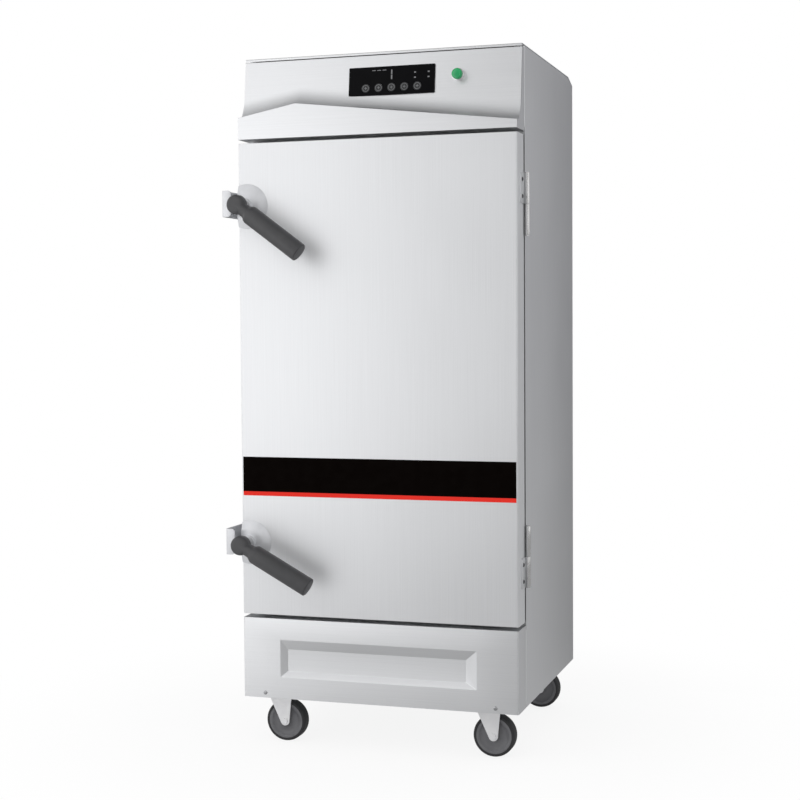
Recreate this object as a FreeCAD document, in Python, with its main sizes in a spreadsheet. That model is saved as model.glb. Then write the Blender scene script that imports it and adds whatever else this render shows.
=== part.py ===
import FreeCAD, Part
import math
import os
import Sketcher

# Electric rice steamer: an insulated cabinet with one door, on four swivel castors.
# The pieces are drawn in the cabinet's own place: X to the right with 0 at the middle of its width,
# Y to the back with 0 at the door's front face, and Z up from the floor. Each piece is then moved
# so that the origin lies on the floor under the middle of the whole object.

SIZES = {
    # Cabinet
    "cabinet_width": 680,
    "cabinet_height": 1650,
    "cabinet_depth": 630,
    "panel_gauge": 1.2,
    "panel_return": 18,
    "skirt_bottom": 117,
    "side_wall": 33,
    "rear_wall": 40,
    "front_lap": 10,
    "edge_radius": 4,
    "hole_clearance": 0.2,
    # Door
    "door_bottom": 319,
    "head_height": 206,
    "door_depth": 64,
    "door_gap": 9,
    "seal_gap": 12,
    "plug_height": 16,
    "plug_clearance": 10,
    "plug_taper": 12,
    "gasket_width": 20,
    "gasket_inset": 8,
    "gasket_relief": 0.3,
    "gasket_corner": 24,
    "gasket_round": 3,
    "band_rise": 286,
    "band_height": 93,
    "band_gauge": 0.5,
    # Top cover
    "cover_lip": 6,
    "rear_bend_run": 53,
    "rear_bend_drop": 16,
    # Head fascia
    "face_setback": 53,
    "face_lean": 6.8,
    "crest_left_drop": 145,
    "crest_peak_drop": 117,
    "crest_right_drop": 178,
    "peak_inset": 138,
    "cove_radius": 22,
    # Display
    "window_width": 210,
    "window_height": 68,
    "window_gauge": 2.5,
    "window_x": 31,
    "window_drop": 70,
    "window_lap": 5,
    "window_corner": 2,
    "key_count": 5,
    "key_radius": 10,
    "key_pitch": 31.5,
    "key_row_x": 31,
    "key_row_drop": 86,
    "key_proud": 0.5,
    "key_lip": 1.5,
    "key_lip_gauge": 0.8,
    "key_clearance": 0.15,
    "key_relief": 0.3,
    "key_stroke": 1,
    "key_stem_radius": 2,
    "key_stem": 1.1,
    "switch_radius": 3,
    "board_gauge": 1.6,
    "board_gap": 6,
    "board_margin": 8,
    "board_pillar_radius": 3,
    "board_pillar_rise": 28,
    "board_chip_width": 60,
    "board_chip_height": 30,
    "board_chip_depth": 12,
    # Push button
    "button_inset": 148,
    "button_drop": 66,
    "bezel_radius": 15,
    "bezel_height": 9,
    "bezel_floor": 2,
    "barrel_radius": 11,
    "barrel_length": 34,
    "barrel_wall": 2,
    "contact_block_radius": 13,
    "contact_block_depth": 16,
    "button_nut_radius": 15,
    "button_nut_depth": 5,
    "lens_rest_gap": 0.5,
    "lens_round": 2,
    "lens_radius": 12.5,
    "lens_proud": 20,
    "lens_clearance": 0.2,
    "lens_stem_length": 20,
    "button_stroke": 5,
    # Plinth
    "recess_left_rim": 94.5,
    "recess_right_rim": 99.5,
    "recess_bottom": 169,
    "recess_top": 259,
    "recess_bevel": 18,
    "recess_depth": 11,
    "plinth_screw_inset": 55,
    "plinth_screw_z": 129,
    # Base and castors
    "base_gauge": 2,
    "base_skirt": 22,
    "castor_height": 142,
    "castor_inset": 79,
    "castor_front": 70,
    "castor_rear_inset": 64,
    "castor_trail": 6,
    "wheel_radius": 50,
    "wheel_width": 32,
    "tread_depth": 11,
    "tread_round": 8,
    "hub_radius": 14,
    "wheel_web": 12,
    "rim_depth": 6,
    "axle_radius": 5,
    "axle_clearance": 0.1,
    "axle_head_radius": 8,
    "axle_head_height": 4,
    "side_play": 2.5,
    "hub_play": 0.3,
    "fork_gauge": 3,
    "fork_front": 39,
    "fork_rear": 24,
    "fork_boss_radius": 11,
    "fork_wrap_angle": 24.6,
    "crown_gauge": 5,
    "plate_length": 95,
    "plate_width": 68,
    "plate_gauge": 3,
    "race_radius": 23,
    "race_height": 12,
    "swivel_gap": 0.3,
    "kingpin_radius": 6,
    "kingpin_clearance": 0.1,
    "kingpin_head": 9,
    "kingpin_head_height": 5,
    # Chamber furniture
    "runner_count": 12,
    "runner_rise": 68,
    "runner_headroom": 67,
    "runner_width": 16,
    "runner_drop": 12,
    "rack_rear_gap": 32,
    "rack_front": 118,
    "post_overrun": 34,
    "post_gauge": 3,
    "post_width": 22,
    "tray_count": 4,
    "tray_side_gap": 7,
    "tray_rear_gap": 54,
    "tray_depth": 46,
    "tray_rim": 14,
    "tray_corner": 32,
    "tray_gauge": 1.2,
    "tray_front": 136,
    "tray_step": 3,
    "tray_first_level": 2,
    # Water
    "tank_side_inset": 39,
    "tank_front": 122,
    "tank_rear_inset": 42,
    "tank_depth": 124,
    "tank_flange": 14,
    "tank_gauge": 1.5,
    "tank_mouth_lap": 6,
    "heater_radius": 6,
    "heater_count": 3,
    "heater_pitch": 110,
    "heater_spread": 25,
    "heater_front_gap": 66,
    "heater_rise": 35.2,
    "heater_x": 30,
    "heater_flange_radius": 9,
    "heater_flange_gauge": 5,
    "heater_terminal_radius": 3,
    "heater_terminal": 14,
    "inlet_inset": 68,
    "inlet_drop": 50.8,
    "inlet_radius": 10.48,
    "inlet_reach": 20,
    "inlet_nut_radius": 16,
    "inlet_nut_depth": 7,
    "inlet_bore": 7,
    "inlet_bore_depth": 24,
    "float_body_radius": 14,
    "float_body_depth": 34,
    "float_pin_radius": 3,
    "float_pin_clearance": 0.08,
    "float_pin_reach": 7,
    "float_fork_gauge": 3,
    "float_fork_gap": 8,
    "float_eye_play": 0.4,
    "float_eye_radius": 6,
    "float_arm_radius": 3,
    "float_arm_length": 112,
    "float_arm_angle": 16.5,
    "float_ball_radius": 28,
    "drain_inset": 88,
    "drain_rise": 19.2,
    "drain_pipe_radius": 11,
    "drain_body_radius": 18,
    "drain_body_depth": 32,
    "drain_outlet_radius": 13.22,
    "drain_outlet_reach": 20,
    "drain_stand_off": 6,
    "drain_stem_radius": 5,
    "drain_stem_height": 10,
    "drain_nut_radius": 16,
    "drain_nut_depth": 5,
    "drain_cap_radius": 8,
    "drain_cap_depth": 3,
    "drain_bore_depth": 12,
    "drain_wall": 3,
    "lever_clearance": 0.08,
    "lever_play": 0.3,
    "lever_eye_radius": 9,
    "lever_length": 72,
    "lever_width": 14,
    "lever_gauge": 3,
    # Back fittings
    "vent_x": 150,
    "vent_drop": 35,
    "vent_radius": 16,
    "vent_gauge": 1.5,
    "vent_reach": 24,
    "vent_flange_radius": 27,
    "vent_flange_gauge": 2,
    "gland_inset": 125,
    "gland_drop": 90,
    "gland_bore": 6.5,
    "gland_thread": 12,
    "gland_flange_radius": 17,
    "gland_flange_gauge": 5,
    "gland_reach": 28,
    "gland_tail": 10,
    "gland_dome_radius": 14,
    "gland_dome_round": 5,
    "gland_nut_gauge": 5,
    "louvre_count": 6,
    "louvre_width": 110,
    "louvre_height": 3.5,
    "louvre_pitch": 14,
    "louvre_drop": 150,
    "contactor_width": 90,
    "contactor_depth": 70,
    "contactor_height": 84,
    "contactor_x": 60,
    "contactor_front": 260,
    "contactor_step": 18,
    "contactor_foot": 12,
    "contactor_foot_gauge": 4,
    "shelf_lip": 25,
    # Hinges
    "hinge_upper_drop": 158,
    "hinge_lower_rise": 154,
    "hinge_height": 142,
    "hinge_gap": 0.4,
    "knuckle_radius": 6,
    "knuckle_stand_off": 7,
    "hinge_pin_radius": 3,
    "hinge_pin_clearance": 0.08,
    "hinge_pin_head_radius": 4.5,
    "hinge_pin_head": 1.5,
    "leaf_width": 42,
    "leaf_gauge": 2.5,
    "screw_radius": 2.5,
    "screw_head_radius": 5,
    "screw_head_height": 2,
    "screw_clearance": 0.1,
    "screw_row": 27,
    "screw_end": 16,
    # Latches
    "latch_upper_drop": 149,
    "latch_lower_rise": 173,
    "latch_inset": 21,
    "latch_upper_angle": 36.7,
    "latch_lower_angle": 28.7,
    "rosette_radius": 53,
    "rosette_rim": 3,
    "rosette_dome": 10,
    "rosette_curve": 70,
    "rosette_neck_radius": 17,
    "rosette_neck_reach": 19,
    "spindle_radius": 9,
    "spindle_clearance": 0.08,
    "spindle_hole_clearance": 0.5,
    "spindle_tail": 16,
    "spindle_room": 3,
    "spindle_seat": 12,
    "tongue_reach": 42,
    "tongue_width": 20,
    "tongue_gauge": 8,
    "tongue_tip_width": 16,
    "tongue_hub_radius": 14,
    "tongue_ramp": 4,
    "tongue_ramp_length": 20,
    "tongue_stand_off": 26,
    "head_radius": 23,
    "head_reach": 74,
    "head_depth": 30,
    "head_round": 9,
    "grip_length": 194,
    "grip_radius": 22.5,
    "grip_neck_radius": 15,
    "grip_neck_length": 32,
    "grip_shoulder": 8,
    "grip_end_round": 2.5,
    "grip_axis": 60,
    # Keepers
    "keeper_reach": 27,
    "keeper_gauge": 3,
    "keeper_height": 62,
    "keeper_rise": 5,
    "keeper_strike": 23,
    "keeper_play": 1,
    "keeper_foot_front": 92,
    "keeper_foot_back": 128,
}

doc = FreeCAD.newDocument("rice_steamer")
sheet = doc.addObject("Spreadsheet::Sheet", "Dims")


class Size:
    """A length or an angle, kept with the expression that gives it from the sheet."""

    def __init__(self, text, value):
        self.text = text
        self.value = value

    def __add__(self, other):
        return Size(f"({self.text} + {text(other)})", self.value + number(other))

    def __radd__(self, other):
        return Size(f"({text(other)} + {self.text})", number(other) + self.value)

    def __sub__(self, other):
        return Size(f"({self.text} - {text(other)})", self.value - number(other))

    def __rsub__(self, other):
        return Size(f"({text(other)} - {self.text})", number(other) - self.value)

    def __mul__(self, other):
        return Size(f"({self.text} * {text(other)})", self.value * number(other))

    def __rmul__(self, other):
        return Size(f"({text(other)} * {self.text})", number(other) * self.value)

    def __truediv__(self, other):
        return Size(f"({self.text} / {text(other)})", self.value / number(other))

    def __neg__(self):
        return Size(f"(-1 * {self.text})", -self.value)


def text(value):
    """The expression of a size, or a plain number as it stands."""
    return value.text if isinstance(value, Size) else repr(value)


def number(value):
    """The value of a size, or a plain number as it stands."""
    return value.value if isinstance(value, Size) else value


def sine(angle):
    return Size(f"sin({angle.text} * 1deg)", math.sin(math.radians(angle.value)))


def cosine(angle):
    return Size(f"cos({angle.text} * 1deg)", math.cos(math.radians(angle.value)))


def tangent(angle):
    return Size(f"tan({angle.text} * 1deg)", math.tan(math.radians(angle.value)))


class Named:
    """Holds each driving size under its own name."""


d = Named()
for row, (name, value) in enumerate(SIZES.items(), start=1):
    sheet.set(f"A{row}", name)
    sheet.set(f"B{row}", str(value))
    sheet.setAlias(f"B{row}", name)
    setattr(d, name, Size(f"Dims.{name}", value))
doc.recompute()

# Levels and planes that many pieces share
half_width = d.cabinet_width / 2
gauge = d.panel_gauge
carcass_front = d.door_depth + d.seal_gap
door_top = d.cabinet_height - d.head_height
door_height = door_top - d.door_bottom
plinth_top = d.door_bottom - d.door_gap
head_bottom = door_top + d.door_gap
front_plate_bottom = plinth_top - d.front_lap
front_plate_top = head_bottom + d.front_lap
chamber_half = half_width - d.side_wall
chamber_floor = d.door_bottom + d.side_wall
chamber_ceiling = door_top - d.side_wall
chamber_back = d.cabinet_depth - d.rear_wall
fascia_top = d.cabinet_height - d.cover_lip
inner_half = half_width - gauge
frame_front = carcass_front + gauge
frame_back = d.cabinet_depth - gauge
rear_lip_top = d.cabinet_height - d.rear_bend_drop
rear_lip_bottom = rear_lip_top - d.cover_lip
tank_top = chamber_floor - gauge
tank_bottom = tank_top - d.tank_depth
tank_back = chamber_back - d.tank_rear_inset
tank_half_width = chamber_half - d.tank_side_inset

# Places of the fittings, taken from the edges that they keep to
window_z = d.cabinet_height - d.window_drop
key_row_z = d.cabinet_height - d.key_row_drop
button_x = half_width - d.button_inset
button_z = d.cabinet_height - d.button_drop
louvre_z = d.cabinet_height - d.louvre_drop
gland_x = half_width - d.gland_inset
gland_z = d.cabinet_height - d.gland_drop
vent_z = chamber_ceiling - d.vent_drop
inlet_x = tank_half_width - d.inlet_inset
inlet_z = tank_top - d.inlet_drop
drain_x = tank_half_width - d.drain_inset
drain_z = tank_bottom + d.drain_rise
hinge_upper = door_top - d.hinge_upper_drop
hinge_lower = d.door_bottom + d.hinge_lower_rise
latch_upper = door_top - d.latch_upper_drop
latch_lower = d.door_bottom + d.latch_lower_rise
plinth_screw_x = half_width - d.plinth_screw_inset

# The whole object reaches further on the latch side than on the hinge side, and further back than front
hinge_reach = d.knuckle_stand_off + d.knuckle_radius
back_reach = d.drain_stand_off + d.drain_body_depth + d.drain_outlet_reach
shift_x = (d.keeper_reach - hinge_reach) / 2
front_reach = d.grip_axis + d.grip_radius
shift_y = (front_reach - d.cabinet_depth - back_reach) / 2

PLANES = {"x": "YZ_Plane", "y": "XZ_Plane", "z": "XY_Plane"}
AXES = {"x": "X_Axis", "y": "Y_Axis", "z": "Z_Axis"}
SUBPARTS = []


def place(thing, x=0, y=0, z=0):
    """Put a piece at a point of the cabinet."""
    thing.setExpression("Placement.Base.x", text(shift_x + x))
    thing.setExpression("Placement.Base.y", text(shift_y + y))
    thing.setExpression("Placement.Base.z", text(z))


def new_body(label, x=0, y=0, z=0):
    body = doc.addObject("PartDesign::Body", label)
    place(body, x, y, z)
    return body


def keep(thing, label):
    """Take a finished piece into the list of sub-parts."""
    thing.Label = label
    SUBPARTS.append(thing)
    return thing


def gather(label, pieces):
    """Like pieces that share one node."""
    group = doc.addObject("Part::Compound", label)
    group.Links = pieces
    doc.recompute()
    return keep(group, label)


def origin_feature(body, role):
    return next(f for f in body.Origin.OriginFeatures if f.Role == role)


def sketch(body, axis, at):
    """A sketch square to an axis of its body, at a distance along that axis."""
    drawn = body.newObject("Sketcher::SketchObject", body.Name + "_sketch")
    drawn.AttachmentSupport = [(origin_feature(body, PLANES[axis]), "")]
    drawn.MapMode = "FlatFace"
    offset = 0 - at if axis == "y" else at
    drawn.setExpression("AttachmentOffset.Base.z", text(offset))
    return drawn


def tie(drawn, kind, *where, size):
    """Hold a sketch dimension to the sheet."""
    index = drawn.addConstraint(Sketcher.Constraint(kind, *where, number(size)))
    label = f"size{index}"
    drawn.renameConstraint(index, label)
    drawn.setExpression(f"Constraints.{label}", text(size))


def arc_between(start, end, radius, side):
    """The arc from start to end, its centre on the left of the way for side 1 and on the right for -1."""
    across = end - start
    reach = across.Length / 2
    height = math.sqrt(max(radius * radius - reach * reach, 0))
    left = FreeCAD.Vector(-across.y, across.x, 0).normalize()
    centre = (start + end) / 2 + left * (height * side)
    first, last = (start, end) if side > 0 else (end, start)
    angles = [math.atan2(p.y - centre.y, p.x - centre.x) for p in (first, last)]
    circle = Part.Circle(centre, FreeCAD.Vector(0, 0, 1), radius)
    return Part.ArcOfCircle(circle, angles[0], angles[1])


def outline(drawn, path):
    """A closed outline: each point is (a, b), or (a, b, radius, side) where an arc leads up to it."""
    points = [FreeCAD.Vector(number(p[0]), number(p[1]), 0) for p in path]
    base = drawn.GeometryCount
    ends = []
    for i, step in enumerate(path):
        start = points[i - 1]
        if len(step) == 2:
            drawn.addGeometry(Part.LineSegment(start, points[i]), False)
            ends.append((1, 2))
        else:
            drawn.addGeometry(arc_between(start, points[i], number(step[2]), step[3]), False)
            ends.append((1, 2) if step[3] > 0 else (2, 1))
    for i, step in enumerate(path):
        after = (i + 1) % len(path)
        drawn.addConstraint(
            Sketcher.Constraint("Coincident", base + i, ends[i][1], base + after, ends[after][0])
        )
        tie(drawn, "DistanceX", -1, 1, base + i, ends[i][1], size=step[0])
        tie(drawn, "DistanceY", -1, 1, base + i, ends[i][1], size=step[1])
        if len(step) > 2:
            tie(drawn, "Radius", base + i, size=step[2])


def rectangle(drawn, a0, b0, a1, b1):
    outline(drawn, [(a0, b0), (a1, b0), (a1, b1), (a0, b1)])


def rounded(drawn, a0, b0, a1, b1, r):
    """A rectangle with its four corners rounded."""
    outline(
        drawn,
        [
            (a1 - r, b0),
            (a1, b0 + r, r, 1),
            (a1, b1 - r),
            (a1 - r, b1, r, 1),
            (a0 + r, b1),
            (a0, b1 - r, r, 1),
            (a0, b0 + r),
            (a0 + r, b0, r, 1),
        ],
    )


def circle(drawn, a, b, radius):
    spot = FreeCAD.Vector(number(a), number(b), 0)
    index = drawn.addGeometry(Part.Circle(spot, FreeCAD.Vector(0, 0, 1), number(radius)), False)
    tie(drawn, "DistanceX", -1, 1, index, 3, size=a)
    tie(drawn, "DistanceY", -1, 1, index, 3, size=b)
    tie(drawn, "Radius", index, size=radius)


def axis_of(drawn):
    role = drawn.AttachmentSupport[0][0].Role
    return next(axis for axis, plane in PLANES.items() if plane == role)


def pad(body, drawn, length, way=1):
    """Raise a sketch along its axis, forwards for way 1 and backwards for -1."""
    feature = body.newObject("PartDesign::Pad", body.Name + "_pad")
    feature.Profile = drawn
    feature.setExpression("Length", text(length))
    feature.Reversed = (axis_of(drawn) == "y") == (way > 0)
    doc.recompute()
    return feature


def pocket(body, drawn, length, way=1):
    """Cut a sketch along its axis, forwards for way 1 and backwards for -1."""
    before = body.Shape.Volume
    feature = body.newObject("PartDesign::Pocket", body.Name + "_pocket")
    feature.Profile = drawn
    feature.setExpression("Length", text(length))
    feature.Reversed = (axis_of(drawn) == "y") != (way > 0)
    doc.recompute()
    if not body.Shape.Volume < before:
        raise RuntimeError(f"{body.Label}: a pocket cuts nothing")
    return feature


def loft(body, kind, drawn, ruled=True):
    """Join sketches by an additive or subtractive loft."""
    feature = body.newObject(f"PartDesign::{kind}Loft", body.Name + "_loft")
    feature.Profile = drawn[0]
    feature.Sections = drawn[1:]
    feature.Ruled = ruled
    doc.recompute()
    return feature


def turn(body, drawn, axis, angle=360):
    """Revolve a sketch about an axis of its body."""
    feature = body.newObject("PartDesign::Revolution", body.Name + "_turned")
    feature.Profile = drawn
    feature.ReferenceAxis = (origin_feature(body, AXES[axis]), [""])
    feature.Angle = angle
    doc.recompute()
    return feature


def faces_at(feature, **where):
    """Names of the flat faces that lie square across an axis at a given distance."""
    names = []
    for i, face in enumerate(feature.Shape.Faces, start=1):
        box = face.BoundBox
        for axis, at in where.items():
            low = getattr(box, axis.upper() + "Min")
            high = getattr(box, axis.upper() + "Max")
            if abs(low - number(at)) < 1e-4 and abs(high - number(at)) < 1e-4:
                names.append(f"Face{i}")
    return names


def shell(body, base, wall, **open_at):
    """Hollow a solid to an even wall, open at the faces named by their places."""
    feature = body.newObject("PartDesign::Thickness", body.Name + "_shell")
    names = []
    for axis, at in open_at.items():
        found = faces_at(base, **{axis: at})
        if not found:
            raise RuntimeError(f"{body.Label}: no face to open at {axis}")
        names += found
    feature.Base = (base, names)
    feature.setExpression("Value", text(wall))
    feature.Mode = 0
    feature.Join = 1
    feature.Reversed = True
    doc.recompute()
    return feature


def round_off(body, base, radius, chosen):
    """Fillet the edges that a test picks by their bounding boxes."""
    names = [f"Edge{i}" for i, e in enumerate(base.Shape.Edges, start=1) if chosen(e.BoundBox)]
    if not names:
        raise RuntimeError(f"{body.Label}: no edge to round")
    feature = body.newObject("PartDesign::Fillet", body.Name + "_fillet")
    feature.Base = (base, names)
    feature.setExpression("Radius", text(radius))
    doc.recompute()
    return feature


def near(value, target):
    return abs(value - number(target)) < 1e-4


def block(label, x, y, z):
    """A plain box body between two limits along each axis."""
    body = new_body(label)
    drawn = sketch(body, "z", z[0])
    rectangle(drawn, x[0], y[0], x[1], y[1])
    pad(body, drawn, z[1] - z[0])
    return body


def repeat(body, originals, axis, count, pitch, back=False):
    """Repeat features along an axis of their body."""
    feature = body.newObject("PartDesign::LinearPattern", body.Name + "_row")
    feature.Originals = originals
    feature.Direction = (origin_feature(body, AXES[axis]), [""])
    feature.Mode = "Spacing"
    feature.Reversed = back
    feature.setExpression("Offset", text(pitch))
    feature.setExpression("Occurrences", text(count))
    body.Tip = feature
    doc.recompute()
    return feature


# Side panels, each a folded sheet with a return along its front, back, sloped rear corner and top
for side, name in ((-1, "left_side_panel"), (1, "right_side_panel")):
    panel = new_body(name)
    face = half_width * side
    drawn = sketch(panel, "x", face)
    outline(
        drawn,
        [
            (frame_front, d.skirt_bottom),
            (frame_back, d.skirt_bottom),
            (frame_back, rear_lip_top - gauge),
            (d.cabinet_depth - d.rear_bend_run, d.cabinet_height - gauge),
            (frame_front, d.cabinet_height - gauge),
        ],
    )
    slab = pad(panel, drawn, d.panel_return, -side)
    shell(panel, slab, gauge, x=face - d.panel_return * side, z=d.skirt_bottom)
    keep(panel, name)

# Holes through the right side panel for the hinge screws
pin_y = d.door_depth + d.seal_gap / 2
half_hinge = d.hinge_height / 2
leaf_height = (d.hinge_height - d.hinge_gap) / 2
HINGES = [(hinge_upper, 1), (hinge_lower, -1)]
screw_hole = d.screw_radius + d.screw_clearance


def screw_levels(centre, way):
    """Heights of the two screws in the half of a hinge above the middle for way 1, below for -1."""
    return (centre + (d.hinge_gap + d.screw_end) * way, centre + (half_hinge - d.screw_end) * way)


drawn = sketch(panel, "x", half_width)
for centre, door_way in HINGES:
    for level in screw_levels(centre, -door_way):
        circle(drawn, pin_y + d.screw_row, level, screw_hole)
pocket(panel, drawn, gauge, -1)

# Back panel: a flat sheet with holes for the pipes and the cable gland, and louvres for the head
back_panel = new_body("back_panel")
drawn = sketch(back_panel, "y", d.cabinet_depth)
rectangle(drawn, -half_width, d.skirt_bottom, half_width, rear_lip_bottom)
pad(back_panel, drawn, gauge, -1)
drawn = sketch(back_panel, "y", d.cabinet_depth)
circle(drawn, -d.vent_x, vent_z, d.vent_radius + d.hole_clearance)
circle(drawn, gland_x, gland_z, d.gland_thread + d.hole_clearance)
circle(drawn, -inlet_x, inlet_z, d.inlet_radius + d.hole_clearance)
circle(drawn, drain_x, drain_z, d.drain_pipe_radius + d.hole_clearance)
pocket(back_panel, drawn, gauge, -1)
drawn = sketch(back_panel, "y", d.cabinet_depth)
rectangle(drawn, -d.louvre_width / 2, louvre_z, d.louvre_width / 2, louvre_z + d.louvre_height)
slot = pocket(back_panel, drawn, gauge, -1)
repeat(back_panel, [slot], "z", d.louvre_count, d.louvre_pitch)
keep(back_panel, "back_panel")

# Top cover: one sheet folded down at the front, sloped at the back and folded down behind
top_cover = new_body("top_cover")
drawn = sketch(top_cover, "x", -half_width)
slope_start = d.cabinet_depth - d.rear_bend_run
outline(
    drawn,
    [
        (d.face_setback, fascia_top),
        (d.face_setback + gauge, fascia_top),
        (d.face_setback + gauge, d.cabinet_height - gauge),
        (slope_start, d.cabinet_height - gauge),
        (frame_back, rear_lip_top - gauge),
        (frame_back, rear_lip_bottom),
        (d.cabinet_depth, rear_lip_bottom),
        (d.cabinet_depth, rear_lip_top),
        (slope_start, d.cabinet_height),
        (d.face_setback, d.cabinet_height),
    ],
)
pad(top_cover, drawn, d.cabinet_width, 1)
keep(top_cover, "top_cover")

# Chamber liner: the inner box, with the front plate that the door seals against
liner = new_body("chamber_liner")
drawn = sketch(liner, "y", carcass_front)
rectangle(drawn, -half_width, front_plate_bottom, half_width, front_plate_top)
pad(liner, drawn, gauge)
drawn = sketch(liner, "y", carcass_front)
rectangle(drawn, -chamber_half - gauge, chamber_floor - gauge, chamber_half + gauge, chamber_ceiling + gauge)
pad(liner, drawn, chamber_back + gauge - carcass_front)
drawn = sketch(liner, "y", carcass_front)
rectangle(drawn, -chamber_half, chamber_floor, chamber_half, chamber_ceiling)
pocket(liner, drawn, chamber_back - carcass_front)
mouth_half = tank_half_width - d.tank_mouth_lap
mouth_front = d.tank_front + d.tank_mouth_lap
mouth_back = tank_back - d.tank_mouth_lap
drawn = sketch(liner, "z", chamber_floor)
rectangle(drawn, -mouth_half, mouth_front, mouth_half, mouth_back)
pocket(liner, drawn, gauge, -1)
drawn = sketch(liner, "y", chamber_back)
circle(drawn, -d.vent_x, vent_z, d.vent_radius - d.vent_gauge)
pocket(liner, drawn, gauge)
keep(liner, "chamber_liner")

# Water tank, hung under the mouth in the chamber floor
tank = new_body("water_tank")
drawn = sketch(tank, "z", tank_bottom)
rectangle(drawn, -tank_half_width, d.tank_front, tank_half_width, tank_back)
trough = pad(tank, drawn, d.tank_depth)
shell(tank, trough, d.tank_gauge, z=tank_top)
drawn = sketch(tank, "z", tank_top - d.tank_gauge)
wide_half = tank_half_width + d.tank_flange
rectangle(drawn, -wide_half, d.tank_front - d.tank_flange, wide_half, tank_back + d.tank_flange)
wall_half = tank_half_width - d.tank_gauge
rectangle(drawn, -wall_half, d.tank_front + d.tank_gauge, wall_half, tank_back - d.tank_gauge)
pad(tank, drawn, d.tank_gauge)
drawn = sketch(tank, "y", tank_back)
heater_span = d.heater_pitch * (d.heater_count - 1)
heater_z = tank_bottom + d.heater_rise
for i in range(SIZES["heater_count"]):
    middle = d.heater_x - heater_span / 2 + d.heater_pitch * i
    for leg in (-1, 1):
        circle(drawn, middle + d.heater_spread * leg, heater_z, d.heater_radius + d.hole_clearance)
circle(drawn, -inlet_x, inlet_z, d.inlet_radius + d.hole_clearance)
circle(drawn, drain_x, drain_z, d.drain_pipe_radius + d.hole_clearance)
pocket(tank, drawn, d.tank_gauge, -1)
keep(tank, "water_tank")

# Foam in the walls, from the front plate to the back panel and from under the chamber to the head
foam_top = front_plate_top
foam_bottom = tank_top - d.side_wall
foam_front = frame_front + gauge
foam_back = frame_back - gauge
foam = new_body("wall_insulation")
drawn = sketch(foam, "z", foam_bottom)
rectangle(drawn, -inner_half, foam_front, inner_half, foam_back)
pad(foam, drawn, foam_top - foam_bottom)
drawn = sketch(foam, "y", foam_front)
rectangle(drawn, -chamber_half - gauge, tank_top, chamber_half + gauge, chamber_ceiling + gauge)
pocket(foam, drawn, chamber_back + gauge - foam_front)
drawn = sketch(foam, "z", foam_bottom)
rectangle(drawn, -wide_half, foam_front, wide_half, tank_back + d.tank_flange)
pocket(foam, drawn, tank_top - foam_bottom)
drawn = sketch(foam, "y", chamber_back + gauge)
circle(drawn, -d.vent_x, vent_z, d.vent_radius + d.hole_clearance)
pocket(foam, drawn, foam_back - chamber_back - gauge)
keep(foam, "wall_insulation")

# Shelf over the foam, which carries the electrical gear in the head
shelf = new_body("head_shelf")
drawn = sketch(shelf, "z", foam_top)
rectangle(drawn, -inner_half, foam_front, inner_half, foam_back)
pad(shelf, drawn, gauge)
drawn = sketch(shelf, "z", foam_top + gauge)
rectangle(drawn, -inner_half, foam_front, inner_half, foam_front + gauge)
pad(shelf, drawn, d.shelf_lip)
keep(shelf, "head_shelf")

# Contactor for the heaters: a stepped block on a foot plate
contactor = new_body("power_contactor")
shelf_top = foam_top + gauge
contactor_back = d.contactor_front + d.contactor_depth
contactor_right = d.contactor_x + d.contactor_width
drawn = sketch(contactor, "z", shelf_top)
rectangle(
    drawn,
    d.contactor_x - d.contactor_foot,
    d.contactor_front,
    contactor_right + d.contactor_foot,
    contactor_back,
)
pad(contactor, drawn, d.contactor_foot_gauge)
drawn = sketch(contactor, "z", shelf_top)
rectangle(drawn, d.contactor_x, d.contactor_front, contactor_right, contactor_back)
pad(contactor, drawn, d.contactor_height)
drawn = sketch(contactor, "x", d.contactor_x)
step_bottom = shelf_top + d.contactor_height - d.contactor_step
step_top = shelf_top + d.contactor_height
rectangle(drawn, d.contactor_front, step_bottom, d.contactor_front + d.contactor_step, step_top)
rectangle(drawn, contactor_back - d.contactor_step, step_bottom, contactor_back, step_top)
pocket(contactor, drawn, d.contactor_width)
keep(contactor, "power_contactor")


# Head fascia: a pressed front whose crest rises to a peak. Behind the crest a ledge runs into a cove
# and up into a face that leans back. Its section changes across the cabinet, so it is lofted
# straight between the left end, the peak and the right end, outside and inside.
def face_y(level):
    """How far the leaning face stands behind the door's front at a level."""
    return d.face_setback - (fascia_top - level) * tangent(d.face_lean)


def head_section(body, at, crest, wall):
    """The outline at one place across the cabinet, drawn in from the outside by a wall."""
    drawn = sketch(body, "x", at)
    level = crest - wall
    foot = face_y(level) + wall
    radius = d.cove_radius + wall
    run = radius * tangent((90 - d.face_lean) / 2)
    outline(
        drawn,
        [
            (wall, head_bottom + wall),
            (carcass_front, head_bottom + wall),
            (carcass_front, fascia_top - wall),
            (d.face_setback + wall - wall * tangent(d.face_lean), fascia_top - wall),
            (foot + run * sine(d.face_lean), level + run * cosine(d.face_lean)),
            (foot - run, level, radius, -1),
            (wall, level),
        ],
    )
    return drawn


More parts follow.
